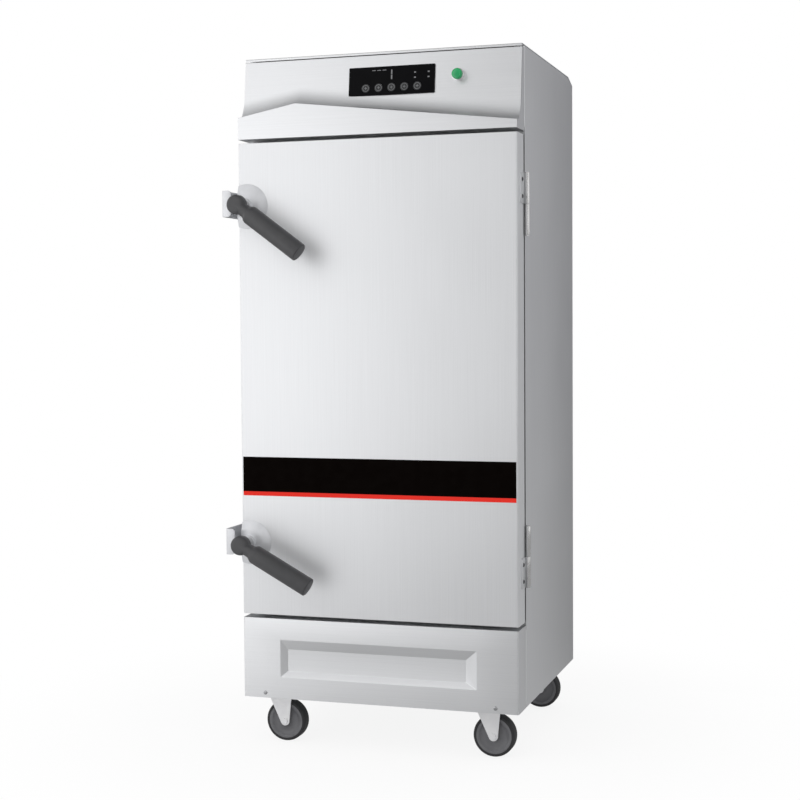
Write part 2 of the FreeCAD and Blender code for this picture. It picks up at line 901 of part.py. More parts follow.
fascia = new_body("head_fascia")
crest_left = d.cabinet_height - d.crest_left_drop
crest_peak = d.cabinet_height - d.crest_peak_drop
crest_right = d.cabinet_height - d.crest_right_drop
peak_x = d.peak_inset - half_width
left_run = d.peak_inset
right_run = d.cabinet_width - d.peak_inset
outside = [
    head_section(fascia, -half_width, crest_left, 0),
    head_section(fascia, peak_x, crest_peak, 0),
    head_section(fascia, half_width, crest_right, 0),
]
loft(fascia, "Additive", outside)
crest_left_inside = crest_left + (crest_peak - crest_left) * gauge / left_run
crest_right_inside = crest_right + (crest_peak - crest_right) * gauge / right_run
inside = [
    head_section(fascia, -inner_half, crest_left_inside, gauge),
    head_section(fascia, peak_x, crest_peak, gauge),
    head_section(fascia, inner_half, crest_right_inside, gauge),
]
loft(fascia, "Subtractive", inside)
mouth_wide = d.window_width / 2 - d.window_lap
mouth_high = d.window_height / 2 - d.window_lap
drawn = sketch(fascia, "y", 0)
rectangle(
    drawn,
    d.window_x - mouth_wide,
    window_z - mouth_high,
    d.window_x + mouth_wide,
    window_z + mouth_high,
)
circle(drawn, button_x, button_z, d.barrel_radius + d.hole_clearance)
pocket(fascia, drawn, carcass_front)
keep(fascia, "head_fascia")


def place_on_face(thing, x, level):
    """Put a piece on the leaning face, its own Y pointing square into the face."""
    turned = FreeCAD.Rotation(FreeCAD.Vector(1, 0, 0), -number(d.face_lean))
    thing.Placement = FreeCAD.Placement(FreeCAD.Vector(), turned)
    place(thing, x, face_y(level), level)
    thing.setExpression("Placement.Rotation.Angle", text(-d.face_lean))


def key_spots():
    """Places of the key centres across the display."""
    first = d.key_row_x - d.key_pitch * (d.key_count - 1) / 2
    return [first + d.key_pitch * i for i in range(SIZES["key_count"])]


# Display window, with a round hole for each key
window = new_body("display_window")
place_on_face(window, d.window_x, window_z)
drawn = sketch(window, "y", -d.window_gauge)
wide, high = d.window_width / 2, d.window_height / 2
rounded(drawn, -wide, -high, wide, high, d.window_corner)
pad(window, drawn, d.window_gauge)
key_rise = (key_row_z - window_z) / cosine(d.face_lean)
drawn = sketch(window, "y", -d.window_gauge)
for spot in key_spots():
    circle(drawn, spot - d.window_x, key_rise, d.key_radius + d.key_clearance)
pocket(window, drawn, d.window_gauge)
keep(window, "display_window")

# Keys: a cap in its hole, a lip behind the window and a stem over the switch
lip_back = d.key_relief + d.key_lip_gauge
stem_end = lip_back + d.key_stem
for i, spot in enumerate(key_spots(), start=1):
    key = new_body(f"key_{i}")
    place_on_face(key, spot, key_row_z)
    drawn = sketch(key, "x", 0)
    outline(
        drawn,
        [
            (-d.window_gauge - d.key_proud, 0),
            (stem_end, 0),
            (stem_end, d.key_stem_radius),
            (lip_back, d.key_stem_radius),
            (lip_back, d.key_radius + d.key_lip),
            (d.key_relief, d.key_radius + d.key_lip),
            (d.key_relief, d.key_radius),
            (-d.window_gauge - d.key_proud, d.key_radius),
        ],
    )
    turn(key, drawn, "y")
    keep(key, f"key_{i}")

# Control board behind the window, on four pillars, with a switch under each key
board = new_body("control_board")
place_on_face(board, d.window_x, window_z)
board_half = d.window_width / 2 + d.board_margin
drawn = sketch(board, "y", d.board_gap)
rectangle(drawn, -board_half, -high, board_half, high)
pad(board, drawn, d.board_gauge)
drawn = sketch(board, "y", gauge)
for side in (-1, 1):
    for rise in (-1, 1):
        circle(drawn, wide * side, d.board_pillar_rise * rise, d.board_pillar_radius)
pad(board, drawn, d.board_gap - gauge)
switch_top = stem_end + d.key_stroke + d.key_relief
drawn = sketch(board, "y", switch_top)
for spot in key_spots():
    circle(drawn, spot - d.window_x, key_rise, d.switch_radius)
pad(board, drawn, d.board_gap - switch_top)
drawn = sketch(board, "y", d.board_gap + d.board_gauge)
chip_wide, chip_high = d.board_chip_width / 2, d.board_chip_height / 2
rectangle(drawn, -chip_wide, -chip_high, chip_wide, chip_high)
pad(board, drawn, d.board_chip_depth)
keep(board, "control_board")

# Push button body: bezel, threaded barrel, nut behind the fascia and the contact block
bezel = new_body("push_button_body")
place_on_face(bezel, button_x, button_z)
stem_bore = d.barrel_radius - d.barrel_wall
cup_radius = d.lens_radius + d.lens_clearance
nut_back = gauge + d.button_nut_depth
drawn = sketch(bezel, "x", 0)
outline(
    drawn,
    [
        (d.barrel_length, 0),
        (d.barrel_length + d.contact_block_depth, 0),
        (d.barrel_length + d.contact_block_depth, d.contact_block_radius),
        (d.barrel_length, d.contact_block_radius),
        (d.barrel_length, d.barrel_radius),
        (nut_back, d.barrel_radius),
        (nut_back, d.button_nut_radius),
        (gauge, d.button_nut_radius),
        (gauge, d.barrel_radius),
        (0, d.barrel_radius),
        (0, d.bezel_radius),
        (-d.bezel_height, d.bezel_radius),
        (-d.bezel_height, cup_radius),
        (-d.bezel_floor, cup_radius),
        (-d.bezel_floor, stem_bore),
        (d.barrel_length, stem_bore),
    ],
)
turn(bezel, drawn, "y")
keep(bezel, "push_button_body")

# Green lens of the push button, with its stem in the barrel
lens = new_body("push_button_lens")
place_on_face(lens, button_x, button_z)
lens_back = -d.bezel_floor - d.button_stroke - d.lens_rest_gap
lens_stem = stem_bore - d.lens_clearance
drawn = sketch(lens, "x", 0)
outline(
    drawn,
    [
        (-d.lens_proud, 0),
        (d.lens_stem_length, 0),
        (d.lens_stem_length, lens_stem),
        (lens_back, lens_stem),
        (lens_back, d.lens_radius),
        (-d.lens_proud + d.lens_round, d.lens_radius),
        (-d.lens_proud, d.lens_radius - d.lens_round, d.lens_round, 1),
    ],
)
turn(lens, drawn, "y")
keep(lens, "push_button_lens")

# Plinth panel: a folded front with a bevelled recess pressed into it
plinth = new_body("plinth_panel")
drawn = sketch(plinth, "z", d.skirt_bottom)
rectangle(drawn, -half_width, 0, half_width, carcass_front)
raised = pad(plinth, drawn, plinth_top - d.skirt_bottom)
rounded_block = round_off(
    plinth, raised, d.edge_radius, lambda b: near(b.YMax, 0) and near(b.XMin, b.XMax)
)
shell(plinth, rounded_block, gauge, y=carcass_front, z=d.skirt_bottom)
recess_left = d.recess_left_rim - half_width
recess_right = half_width - d.recess_right_rim


def recess_step(body, at, inset):
    """The recess's outline at a depth, drawn in by an inset."""
    drawn = sketch(body, "y", at)
    rectangle(
        drawn,
        recess_left + inset,
        d.recess_bottom + inset,
        recess_right - inset,
        d.recess_top - inset,
    )
    return drawn


behind = [
    recess_step(plinth, 0, -gauge),
    recess_step(plinth, d.recess_depth + gauge, d.recess_bevel - gauge),
]
loft(plinth, "Additive", behind)
before = [recess_step(plinth, 0, 0), recess_step(plinth, d.recess_depth, d.recess_bevel)]
loft(plinth, "Subtractive", before)
drawn = sketch(plinth, "y", 0)
for side in (-1, 1):
    circle(drawn, plinth_screw_x * side, d.plinth_screw_z, screw_hole)
pocket(plinth, drawn, gauge)
keep(plinth, "plinth_panel")

# Base pan: a sheet folded down all round, under the machine space
base = new_body("base_pan")
drawn = sketch(base, "z", d.castor_height - d.base_skirt)
base_half = half_width - d.panel_return
rectangle(drawn, -base_half, gauge, base_half, frame_back)
base_block = pad(base, drawn, d.base_skirt + d.base_gauge)
shell(base, base_block, d.base_gauge, z=d.castor_height - d.base_skirt)
drawn = sketch(base, "y", gauge)
for side in (-1, 1):
    circle(drawn, plinth_screw_x * side, d.plinth_screw_z, screw_hole)
pocket(base, drawn, d.base_gauge)
keep(base, "base_pan")


def screw(label, axis, x, y, z, grip):
    """A domed screw: its head's seat at a point, its shank running back through what it grips."""
    body = new_body(label, x, y, z)
    plane = "y" if axis == "x" else "x"
    way = 1 if axis == "x" else -1
    drawn = sketch(body, plane, 0)
    top = d.screw_head_height * way
    dome = d.screw_head_radius - d.screw_head_height
    outline(
        drawn,
        [
            (grip * -way, 0),
            (grip * -way, d.screw_radius),
            (0, d.screw_radius),
            (0, d.screw_head_radius),
            (top, dome, d.screw_head_height, -way),
            (top, 0),
        ],
    )
    turn(body, drawn, axis)
    return body


plinth_grip = gauge + d.base_gauge
gather(
    "plinth_screws",
    [
        screw("plinth_screw", "y", plinth_screw_x * side, 0, d.plinth_screw_z, plinth_grip)
        for side in (-1, 1)
    ],
)

# Castors: a plate with its race and kingpin, a fork that swivels on the kingpin, and a wheel
castor_x = half_width - d.castor_inset
castor_rear = d.cabinet_depth - d.castor_rear_inset
CASTORS = [
    ("front_left", -castor_x, d.castor_front),
    ("front_right", castor_x, d.castor_front),
    ("rear_left", -castor_x, castor_rear),
    ("rear_right", castor_x, castor_rear),
]
plate_bottom = d.castor_height - d.plate_gauge
race_bottom = plate_bottom - d.race_height
crown_top = race_bottom - d.swivel_gap
crown_bottom = crown_top - d.crown_gauge
pin_head_top = crown_bottom - d.swivel_gap
fork_inside = d.wheel_width / 2 + d.side_play
fork_outside = fork_inside + d.fork_gauge


def castor_plate(x, y):
    body = new_body("castor_plate", x, y, 0)
    drawn = sketch(body, "z", plate_bottom)
    rectangle(
        drawn, -d.plate_length / 2, -d.plate_width / 2, d.plate_length / 2, d.plate_width / 2
    )
    pad(body, drawn, d.plate_gauge)
    drawn = sketch(body, "x", 0)
    outline(
        drawn,
        [
            (0, pin_head_top - d.kingpin_head_height),
            (d.kingpin_head, pin_head_top - d.kingpin_head_height),
            (d.kingpin_head, pin_head_top),
            (d.kingpin_radius, pin_head_top),
            (d.kingpin_radius, race_bottom),
            (d.race_radius, race_bottom),
            (d.race_radius, plate_bottom),
            (0, plate_bottom),
        ],
    )
    turn(body, drawn, "z")
    return body


gather("castor_plates", [castor_plate(x, y) for name, x, y in CASTORS])

for name, x, y in CASTORS:
    fork = new_body(name + "_fork", x, y, 0)
    drawn = sketch(fork, "z", crown_bottom)
    rectangle(drawn, -d.fork_front, -fork_outside, d.fork_rear, fork_outside)
    circle(drawn, 0, 0, d.kingpin_radius + d.kingpin_clearance)
    pad(fork, drawn, d.crown_gauge)
    for near_side in (-fork_outside, fork_inside):
        drawn = sketch(fork, "y", near_side)
        wrap_x = d.castor_trail - d.fork_boss_radius * cosine(d.fork_wrap_angle)
        wrap_z = d.wheel_radius - d.fork_boss_radius * sine(d.fork_wrap_angle)
        outline(
            drawn,
            [
                (-d.fork_front, crown_top),
                (d.fork_rear, crown_top),
                (d.castor_trail + d.fork_boss_radius, d.wheel_radius),
                (wrap_x, wrap_z, d.fork_boss_radius, -1),
                (-d.fork_front, crown_bottom),
            ],
        )
        pad(fork, drawn, d.fork_gauge)
    axle_reach = fork_outside + d.axle_head_height
    drawn = sketch(fork, "y", -fork_outside)
    circle(drawn, d.castor_trail, d.wheel_radius, d.axle_radius)
    pad(fork, drawn, fork_outside * 2)
    for near_side in (-axle_reach, fork_outside):
        drawn = sketch(fork, "y", near_side)
        circle(drawn, d.castor_trail, d.wheel_radius, d.axle_head_radius)
        pad(fork, drawn, d.axle_head_height)
    keep(fork, name + "_fork")

core_radius = d.wheel_radius - d.tread_depth
rim_radius = core_radius - d.rim_depth
hub_half = fork_inside - d.hub_play
web_half = d.wheel_web / 2
wheel_half = d.wheel_width / 2
axle_bore = d.axle_radius + d.axle_clearance
for name, x, y in CASTORS:
    wheel = new_body(name + "_wheel", x + d.castor_trail, y, d.wheel_radius)
    drawn = sketch(wheel, "x", 0)
    outline(
        drawn,
        [
            (-hub_half, axle_bore),
            (hub_half, axle_bore),
            (hub_half, d.hub_radius),
            (web_half, d.hub_radius),
            (web_half, rim_radius),
            (wheel_half, rim_radius),
            (wheel_half, d.wheel_radius - d.tread_round),
            (wheel_half - d.tread_round, d.wheel_radius, d.tread_round, 1),
            (d.tread_round - wheel_half, d.wheel_radius),
            (-wheel_half, d.wheel_radius - d.tread_round, d.tread_round, 1),
            (-wheel_half, rim_radius),
            (-web_half, rim_radius),
            (-web_half, d.hub_radius),
            (-hub_half, d.hub_radius),
        ],
    )
    turn(wheel, drawn, "y")
    keep(wheel, name + "_wheel")

# Tray racks: two posts on each side wall, with a row of angle runners
runner_first = chamber_floor + d.runner_rise
runner_span = chamber_ceiling - runner_first - d.runner_headroom
runner_pitch = runner_span / (d.runner_count - 1)
rack_bottom = runner_first - d.post_overrun
rack_height = runner_span + d.post_overrun * 2
rack_end = chamber_back - d.rack_rear_gap
runner_length = rack_end - d.rack_front
for side, name in ((-1, "left_tray_rack"), (1, "right_tray_rack")):
    rack = new_body(name)
    wall = chamber_half * side
    post_face = wall - d.post_gauge * side
    drawn = sketch(rack, "z", rack_bottom)
    rectangle(drawn, wall, d.rack_front, post_face, d.rack_front + d.post_width)
    rectangle(drawn, wall, rack_end - d.post_width, post_face, rack_end)
    pad(rack, drawn, rack_height)
    drawn = sketch(rack, "y", d.rack_front)
    outline(
        drawn,
        [
            (post_face, runner_first),
            (post_face - d.runner_width * side, runner_first),
            (post_face - d.runner_width * side, runner_first - gauge),
            (post_face - gauge * side, runner_first - gauge),
            (post_face - gauge * side, runner_first - d.runner_drop),
            (post_face, runner_first - d.runner_drop),
        ],
    )
    runner = pad(rack, drawn, runner_length)
    repeat(rack, [runner], "z", d.runner_count, runner_pitch)
    keep(rack, name)

# Steaming trays, hung by their rims on the runners
tray_half = chamber_half - d.tray_side_gap
tray_back = chamber_back - d.tray_rear_gap
for i in range(SIZES["tray_count"]):
    tray = new_body(f"tray_{i + 1}")
    level = runner_first + runner_pitch * (d.tray_first_level - 1 + d.tray_step * i)
    bowl_half = tray_half - d.tray_rim
    bowl_front = d.tray_front + d.tray_rim
    bowl_back = tray_back - d.tray_rim
    drawn = sketch(tray, "z", level - d.tray_depth)
    rounded(drawn, -bowl_half, bowl_front, bowl_half, bowl_back, d.tray_corner)
    bowl = pad(tray, drawn, d.tray_depth + d.tray_gauge)
    shell(tray, bowl, d.tray_gauge, z=level + d.tray_gauge)
    drawn = sketch(tray, "z", level)
    rim_corner = d.tray_corner + d.tray_rim
    rounded(drawn, -tray_half, d.tray_front, tray_half, tray_back, rim_corner)
    wall = d.tray_gauge
    inner_corner = d.tray_corner - wall
    rounded(
        drawn,
        wall - bowl_half,
        bowl_front + wall,
        bowl_half - wall,
        bowl_back - wall,
        inner_corner,
    )
    pad(tray, drawn, d.tray_gauge)
    keep(tray, f"tray_{i + 1}")


# Heating elements: U-shaped tubes in the water, through the tank's rear wall
def heater(middle):
    bend_y = d.tank_front + d.heater_front_gap + d.heater_spread
    body = new_body("heating_element", middle, bend_y, heater_z)
    leg = tank_back - bend_y
    drawn = sketch(body, "y", 0)
    circle(drawn, -d.heater_spread, 0, d.heater_radius)
    turn(body, drawn, "z", 180)
    for radius, start, length in (
        (d.heater_radius, 0, leg),
        (d.heater_flange_radius, leg, d.heater_flange_gauge),
        (d.heater_terminal_radius, leg + d.heater_flange_gauge, d.heater_terminal),
    ):
        drawn = sketch(body, "y", start)
        for side in (-1, 1):
            circle(drawn, d.heater_spread * side, 0, radius)
        pad(body, drawn, length)
    return body


gather(
    "heating_elements",
    [
        heater(d.heater_x - heater_span / 2 + d.heater_pitch * i)
        for i in range(SIZES["heater_count"])
    ],
)

# Float valve: its body in the tank, its threaded shank out through the back, a forked end
valve = new_body("float_valve", -inlet_x, d.cabinet_depth, inlet_z)
seat_y = tank_back - d.tank_gauge - d.cabinet_depth
body_front = seat_y - d.float_body_depth
fork_half = d.float_fork_gap / 2
fork_side = fork_half + d.float_fork_gauge
pivot_y = body_front - d.float_pin_reach
bore_start = d.inlet_reach - d.inlet_bore_depth
drawn = sketch(valve, "x", 0)
outline(
    drawn,
    [
        (body_front, 0),
        (bore_start, 0),
        (bore_start, d.inlet_bore),
        (d.inlet_reach, d.inlet_bore),
        (d.inlet_reach, d.inlet_radius),
        (d.inlet_nut_depth, d.inlet_radius),
        (d.inlet_nut_depth, d.inlet_nut_radius),
        (0, d.inlet_nut_radius),
        (0, d.inlet_radius),
        (seat_y, d.inlet_radius),
        (seat_y, d.float_body_radius),
        (body_front, d.float_body_radius),
    ],
)
turn(valve, drawn, "y")
for near_side in (-fork_side, fork_half):
    drawn = sketch(valve, "x", near_side)
    outline(
        drawn,
        [
            (body_front, -d.float_eye_radius),
            (body_front, d.float_eye_radius),
            (pivot_y, d.float_eye_radius),
            (pivot_y - d.float_eye_radius, 0, d.float_eye_radius, 1),
            (pivot_y, -d.float_eye_radius, d.float_eye_radius, 1),
        ],
    )
    pad(valve, drawn, d.float_fork_gauge)
drawn = sketch(valve, "x", -fork_half)
circle(drawn, pivot_y, 0, d.float_pin_radius)
pad(valve, drawn, d.float_fork_gap)
keep(valve, "float_valve")

# Float arm: an eye on the valve's pin, a rod and a ball, resting at its lowest
arm = new_body("float_arm")
arm.Placement = FreeCAD.Placement(
    FreeCAD.Vector(), FreeCAD.Rotation(FreeCAD.Vector(1, 0, 0), number(d.float_arm_angle))
)
place(arm, -inlet_x, d.cabinet_depth + pivot_y, inlet_z)
arm.setExpression("Placement.Rotation.Angle", text(d.float_arm_angle))
drawn = sketch(arm, "x", d.float_eye_play - fork_half)
circle(drawn, 0, 0, d.float_eye_radius)
pad(arm, drawn, d.float_fork_gap - d.float_eye_play * 2)
drawn = sketch(arm, "x", 0)
rectangle(drawn, -d.float_arm_length, 0, 0, d.float_arm_radius)
turn(arm, drawn, "y")
drawn = sketch(arm, "x", 0)
ball_near = d.float_ball_radius - d.float_arm_length
ball_far = -d.float_ball_radius - d.float_arm_length
outline(
    drawn,
    [
        (ball_far, 0, d.float_ball_radius, 1),
        (ball_near, 0),
        (-d.float_arm_length, d.float_ball_radius, d.float_ball_radius, 1),
    ],
)
turn(arm, drawn, "y")
drawn = sketch(arm, "x", -fork_half)
circle(drawn, 0, 0, d.float_pin_radius + d.float_pin_clearance)
pocket(arm, drawn, d.float_fork_gap)
keep(arm, "float_arm")

# Drain valve: a pipe out of the tank, the valve's body behind the back panel and its stem
drain = new_body("drain_valve", drain_x, d.cabinet_depth, drain_z)
pipe_start = seat_y
valve_end = d.drain_stand_off + d.drain_body_depth
outlet_end = valve_end + d.drain_outlet_reach
bore_floor = outlet_end - d.drain_bore_depth
outlet_bore = d.drain_outlet_radius - d.drain_wall
drawn = sketch(drain, "x", 0)
outline(
    drawn,
    [
        (pipe_start - d.drain_nut_depth, 0),
        (bore_floor, 0),
        (bore_floor, outlet_bore),
        (outlet_end, outlet_bore),
        (outlet_end, d.drain_outlet_radius),
        (valve_end, d.drain_outlet_radius),
        (valve_end, d.drain_body_radius),
        (d.drain_stand_off, d.drain_body_radius),
        (d.drain_stand_off, d.drain_pipe_radius),
        (pipe_start, d.drain_pipe_radius),
        (pipe_start, d.drain_nut_radius),
        (pipe_start - d.drain_nut_depth, d.drain_nut_radius),
    ],
)
turn(drain, drawn, "y")
stem_y = d.drain_stand_off + d.drain_body_depth / 2
stem_top = d.drain_body_radius + d.drain_stem_height
cap_bottom = stem_top - d.drain_cap_depth
drawn = sketch(drain, "z", 0)
circle(drawn, 0, stem_y, d.drain_stem_radius)
pad(drain, drawn, stem_top)
drawn = sketch(drain, "z", cap_bottom)
circle(drawn, 0, stem_y, d.drain_cap_radius)
pad(drain, drawn, d.drain_cap_depth)
keep(drain, "drain_valve")

lever_top = drain_z + cap_bottom - d.lever_play
lever = new_body("drain_lever", drain_x, d.cabinet_depth + stem_y, lever_top - d.lever_gauge)
drawn = sketch(lever, "z", 0)
circle(drawn, 0, 0, d.lever_eye_radius)
pad(lever, drawn, d.lever_gauge)
drawn = sketch(lever, "z", 0)
lever_half = d.lever_width / 2
outline(
    drawn,
    [
        (0, -lever_half),
        (0, lever_half),
        (lever_half - d.lever_length, lever_half),
        (-d.lever_length, 0, lever_half, 1),
        (lever_half - d.lever_length, -lever_half, lever_half, 1),
    ],
)
pad(lever, drawn, d.lever_gauge)
drawn = sketch(lever, "z", 0)
circle(drawn, 0, 0, d.drain_stem_radius + d.lever_clearance)
pocket(lever, drawn, d.lever_gauge)
keep(lever, "drain_lever")

# Steam vent: a tube from the chamber's back wall out through the back panel, with a flange on it
vent = new_body("steam_vent", -d.vent_x, d.cabinet_depth, vent_z)
vent_start = chamber_back + gauge - d.cabinet_depth
vent_bore = d.vent_radius - d.vent_gauge
drawn = sketch(vent, "x", 0)
outline(
    drawn,
    [
        (vent_start, vent_bore),
        (d.vent_reach, vent_bore),
        (d.vent_reach, d.vent_radius),
        (d.vent_flange_gauge, d.vent_radius),
        (d.vent_flange_gauge, d.vent_flange_radius),
        (0, d.vent_flange_radius),
        (0, d.vent_radius),
        (vent_start, d.vent_radius),
    ],
)
turn(vent, drawn, "y")
keep(vent, "steam_vent")

# Cable gland for the mains cable, with its nut inside the back panel
gland = new_body("cable_gland", gland_x, d.cabinet_depth, gland_z)
drawn = sketch(gland, "x", 0)
dome_edge = d.gland_dome_radius - d.gland_dome_round
outline(
    drawn,
    [
        (-d.gland_tail, d.gland_bore),
        (d.gland_reach, d.gland_bore),
        (d.gland_reach, dome_edge),
        (d.gland_reach - d.gland_dome_round, d.gland_dome_radius, d.gland_dome_round, 1),
        (d.gland_flange_gauge, d.gland_dome_radius),
        (d.gland_flange_gauge, d.gland_flange_radius),
        (0, d.gland_flange_radius),
        (0, d.gland_thread),
        (-gauge, d.gland_thread),
        (-gauge, d.gland_flange_radius),
        (-gauge - d.gland_nut_gauge, d.gland_flange_radius),
        (-gauge - d.gland_nut_gauge, d.gland_thread),
        (-d.gland_tail, d.gland_thread),
    ],
)
turn(gland, drawn, "y")
keep(gland, "cable_gland")

# Door skin: one sheet folded back on all four sides, with holes for the latches and the hinges
skin = new_body("door_skin")
latch_x = -half_width + d.latch_inset
LATCHES = [
    ("upper", latch_upper, d.latch_upper_angle),
    ("lower", latch_lower, d.latch_lower_angle),
]
drawn = sketch(skin, "z", d.door_bottom)
rectangle(drawn, -half_width, 0, half_width, d.door_depth)
slab = pad(skin, drawn, door_height)
slab = round_off(skin, slab, d.edge_radius, lambda b: near(b.YMax, 0) and near(b.XMin, b.XMax))
shell(skin, slab, gauge, y=d.door_depth)
drawn = sketch(skin, "y", 0)
for name, level, rest in LATCHES:
    circle(drawn, latch_x, level, d.spindle_radius + d.spindle_hole_clearance)
pocket(skin, drawn, gauge)
drawn = sketch(skin, "x", half_width)
for centre, door_way in HINGES:
    for level in screw_levels(centre, door_way):
        circle(drawn, pin_y - d.screw_row, level, screw_hole)
pocket(skin, drawn, gauge, -1)
keep(skin, "door_skin")


def door_plug(body, at, inset):
    """The outline of the door's raised back at a depth, drawn in by an inset."""
    drawn = sketch(body, "y", at)
    side = chamber_half - d.plug_clearance - inset
    low = chamber_floor + d.plug_clearance + inset
    high = chamber_ceiling - d.plug_clearance - inset
    rectangle(drawn, -side, low, side, high)
    return drawn


# Door liner: a plate that closes the skin's back, pressed out into the chamber's mouth
door_liner = new_body("door_liner")
plate_front = d.door_depth - gauge
plug_back = d.door_depth + d.plug_height
drawn = sketch(door_liner, "y", plate_front)
rectangle(drawn, -inner_half, d.door_bottom + gauge, inner_half, door_top - gauge)
pad(door_liner, drawn, gauge)
plug = [door_plug(door_liner, d.door_depth, 0), door_plug(door_liner, plug_back, d.plug_taper)]
loft(door_liner, "Additive", plug)
hollow = [
    door_plug(door_liner, plate_front, gauge),
    door_plug(door_liner, plug_back - gauge, d.plug_taper + gauge),
]
loft(door_liner, "Subtractive", hollow)
keep(door_liner, "door_liner")

# Foam that fills the door, with room for the ends of the latch spindles
door_foam = new_body("door_insulation")
drawn = sketch(door_foam, "z", d.door_bottom + gauge)
rectangle(drawn, -inner_half, gauge, inner_half, plate_front)
slab = pad(door_foam, drawn, door_height - gauge * 2)
round_off(
    door_foam,
    slab,
    d.edge_radius - gauge,
    lambda b: near(b.YMax, gauge) and near(b.XMin, b.XMax),
)
filling = [
    door_plug(door_foam, plate_front, gauge),
    door_plug(door_foam, plug_back - gauge, d.plug_taper + gauge),
]
loft(door_foam, "Additive", filling)
drawn = sketch(door_foam, "y", gauge)
for name, level, rest in LATCHES:
    circle(drawn, latch_x, level, d.spindle_radius + d.spindle_room)
pocket(door_foam, drawn, d.spindle_tail + d.spindle_room)
keep(door_foam, "door_insulation")

# Door gasket: a soft ring round the door's back
gasket = new_body("door_gasket")
ring_half = half_width - d.gasket_inset
ring_low = d.door_bottom + d.gasket_inset
ring_high = door_top - d.gasket_inset
wide = d.gasket_width
drawn = sketch(gasket, "y", d.door_depth)
rounded(drawn, -ring_half, ring_low, ring_half, ring_high, d.gasket_corner)
rounded(
    drawn,
    wide - ring_half,
    ring_low + wide,
    ring_half - wide,
    ring_high - wide,
    d.gasket_corner - wide,
)
ring_back = carcass_front - d.gasket_relief
ring = pad(gasket, drawn, ring_back - d.door_depth)
round_off(gasket, ring, d.gasket_round, lambda b: near(b.YMin, ring_back) and near(b.YMax, ring_back))
keep(gasket, "door_gasket")

# Band across the door: a thin black plate with a stripe along its foot
band_half = half_width - d.edge_radius
band_bottom = d.door_bottom + d.band_rise
band_top = band_bottom + d.band_height
band = block("door_band", (-band_half, band_half), (-d.band_gauge, 0), (band_bottom, band_top))
keep(band, "door_band")


def hinge_leaf(label, centre, way, side):
    """Half a hinge: above its middle for way 1, below for -1; the cabinet's for side 1, the door's for -1."""
    low = centre + d.hinge_gap / 2 if way > 0 else centre - half_hinge
    body = new_body(label, half_width, pin_y, low)
    drawn = sketch(body, "z", 0)
    rectangle(drawn, 0, 0, d.leaf_gauge, d.leaf_width * side)
    pad(body, drawn, leaf_height)
    drawn = sketch(body, "z", 0)
    circle(drawn, d.knuckle_stand_off, 0, d.knuckle_radius)
    pad(body, drawn, leaf_height)
    drawn = sketch(body, "z", 0)
    circle(drawn, d.knuckle_stand_off, 0, d.hinge_pin_radius + d.hinge_pin_clearance)
    pocket(body, drawn, leaf_height)
    drawn = sketch(body, "x", 0)
    for level in screw_levels(centre, way):
        circle(drawn, d.screw_row * side, level - low, screw_hole)
    pocket(body, drawn, d.leaf_gauge)
    return body


def hinge_pin(centre):
    """A pin with a head at each end."""
    body = new_body("hinge_pin", half_width + d.knuckle_stand_off, pin_y, centre)
    end = half_hinge + d.hinge_gap / 2
    tip = end + d.hinge_pin_head
    drawn = sketch(body, "x", 0)
    outline(
        drawn,
        [
            (0, -tip),
            (d.hinge_pin_head_radius, -tip),
            (d.hinge_pin_head_radius, -end),
            (d.hinge_pin_radius, -end),
            (d.hinge_pin_radius, end),
            (d.hinge_pin_head_radius, end),
            (d.hinge_pin_head_radius, tip),
            (0, tip),
        ],
    )
    turn(body, drawn, "z")
    return body


def hinge_screws(way, side):
    """The screws of the leaves on the cabinet for side 1, on the door for -1."""
    seat = half_width + d.leaf_gauge
    row = pin_y + d.screw_row * side
    return [
        screw("hinge_screw", "x", seat, row, level, d.leaf_gauge + gauge)
        for centre, door_way in HINGES
        for level in screw_levels(centre, door_way * way)
    ]


# Hinges: on each, one leaf on the door's side and one on the cabinet's, and the pin between them
gather("door_hinge_leaves", [hinge_leaf("door_leaf", c, way, -1) for c, way in HINGES])
gather("cabinet_hinge_leaves", [hinge_leaf("cabinet_leaf", c, -way, 1) for c, way in HINGES])
gather("hinge_pins", [hinge_pin(centre) for centre, way in HINGES])
gather("door_hinge_screws", hinge_screws(1, -1))
gather("cabinet_hinge_screws", hinge_screws(-1, 1))


# Latch rosettes: domed discs under the levers, cut off flush with the door's left edge
def rosette(level):
    body = new_body("latch_rosette", latch_x, 0, level)
    bore = d.spindle_radius + d.spindle_clearance
    drawn = sketch(body, "x", 0)
    outline(
        drawn,
        [
            (0, bore),
            (0, d.rosette_radius),
            (-d.rosette_rim, d.rosette_radius),
            (-d.rosette_dome, d.rosette_neck_radius, d.rosette_curve, 1),
            (-d.rosette_neck_reach, d.rosette_neck_radius),
            (-d.rosette_neck_reach, bore),
        ],
    )
    turn(body, drawn, "y")
    drawn = sketch(body, "y", 0)
    beyond = d.rosette_radius * 2
    rectangle(drawn, -beyond, -beyond, -d.latch_inset, beyond)
    pocket(body, drawn, d.rosette_neck_reach, -1)
    return body


gather("latch_rosettes", [rosette(level) for name, level, rest in LATCHES])

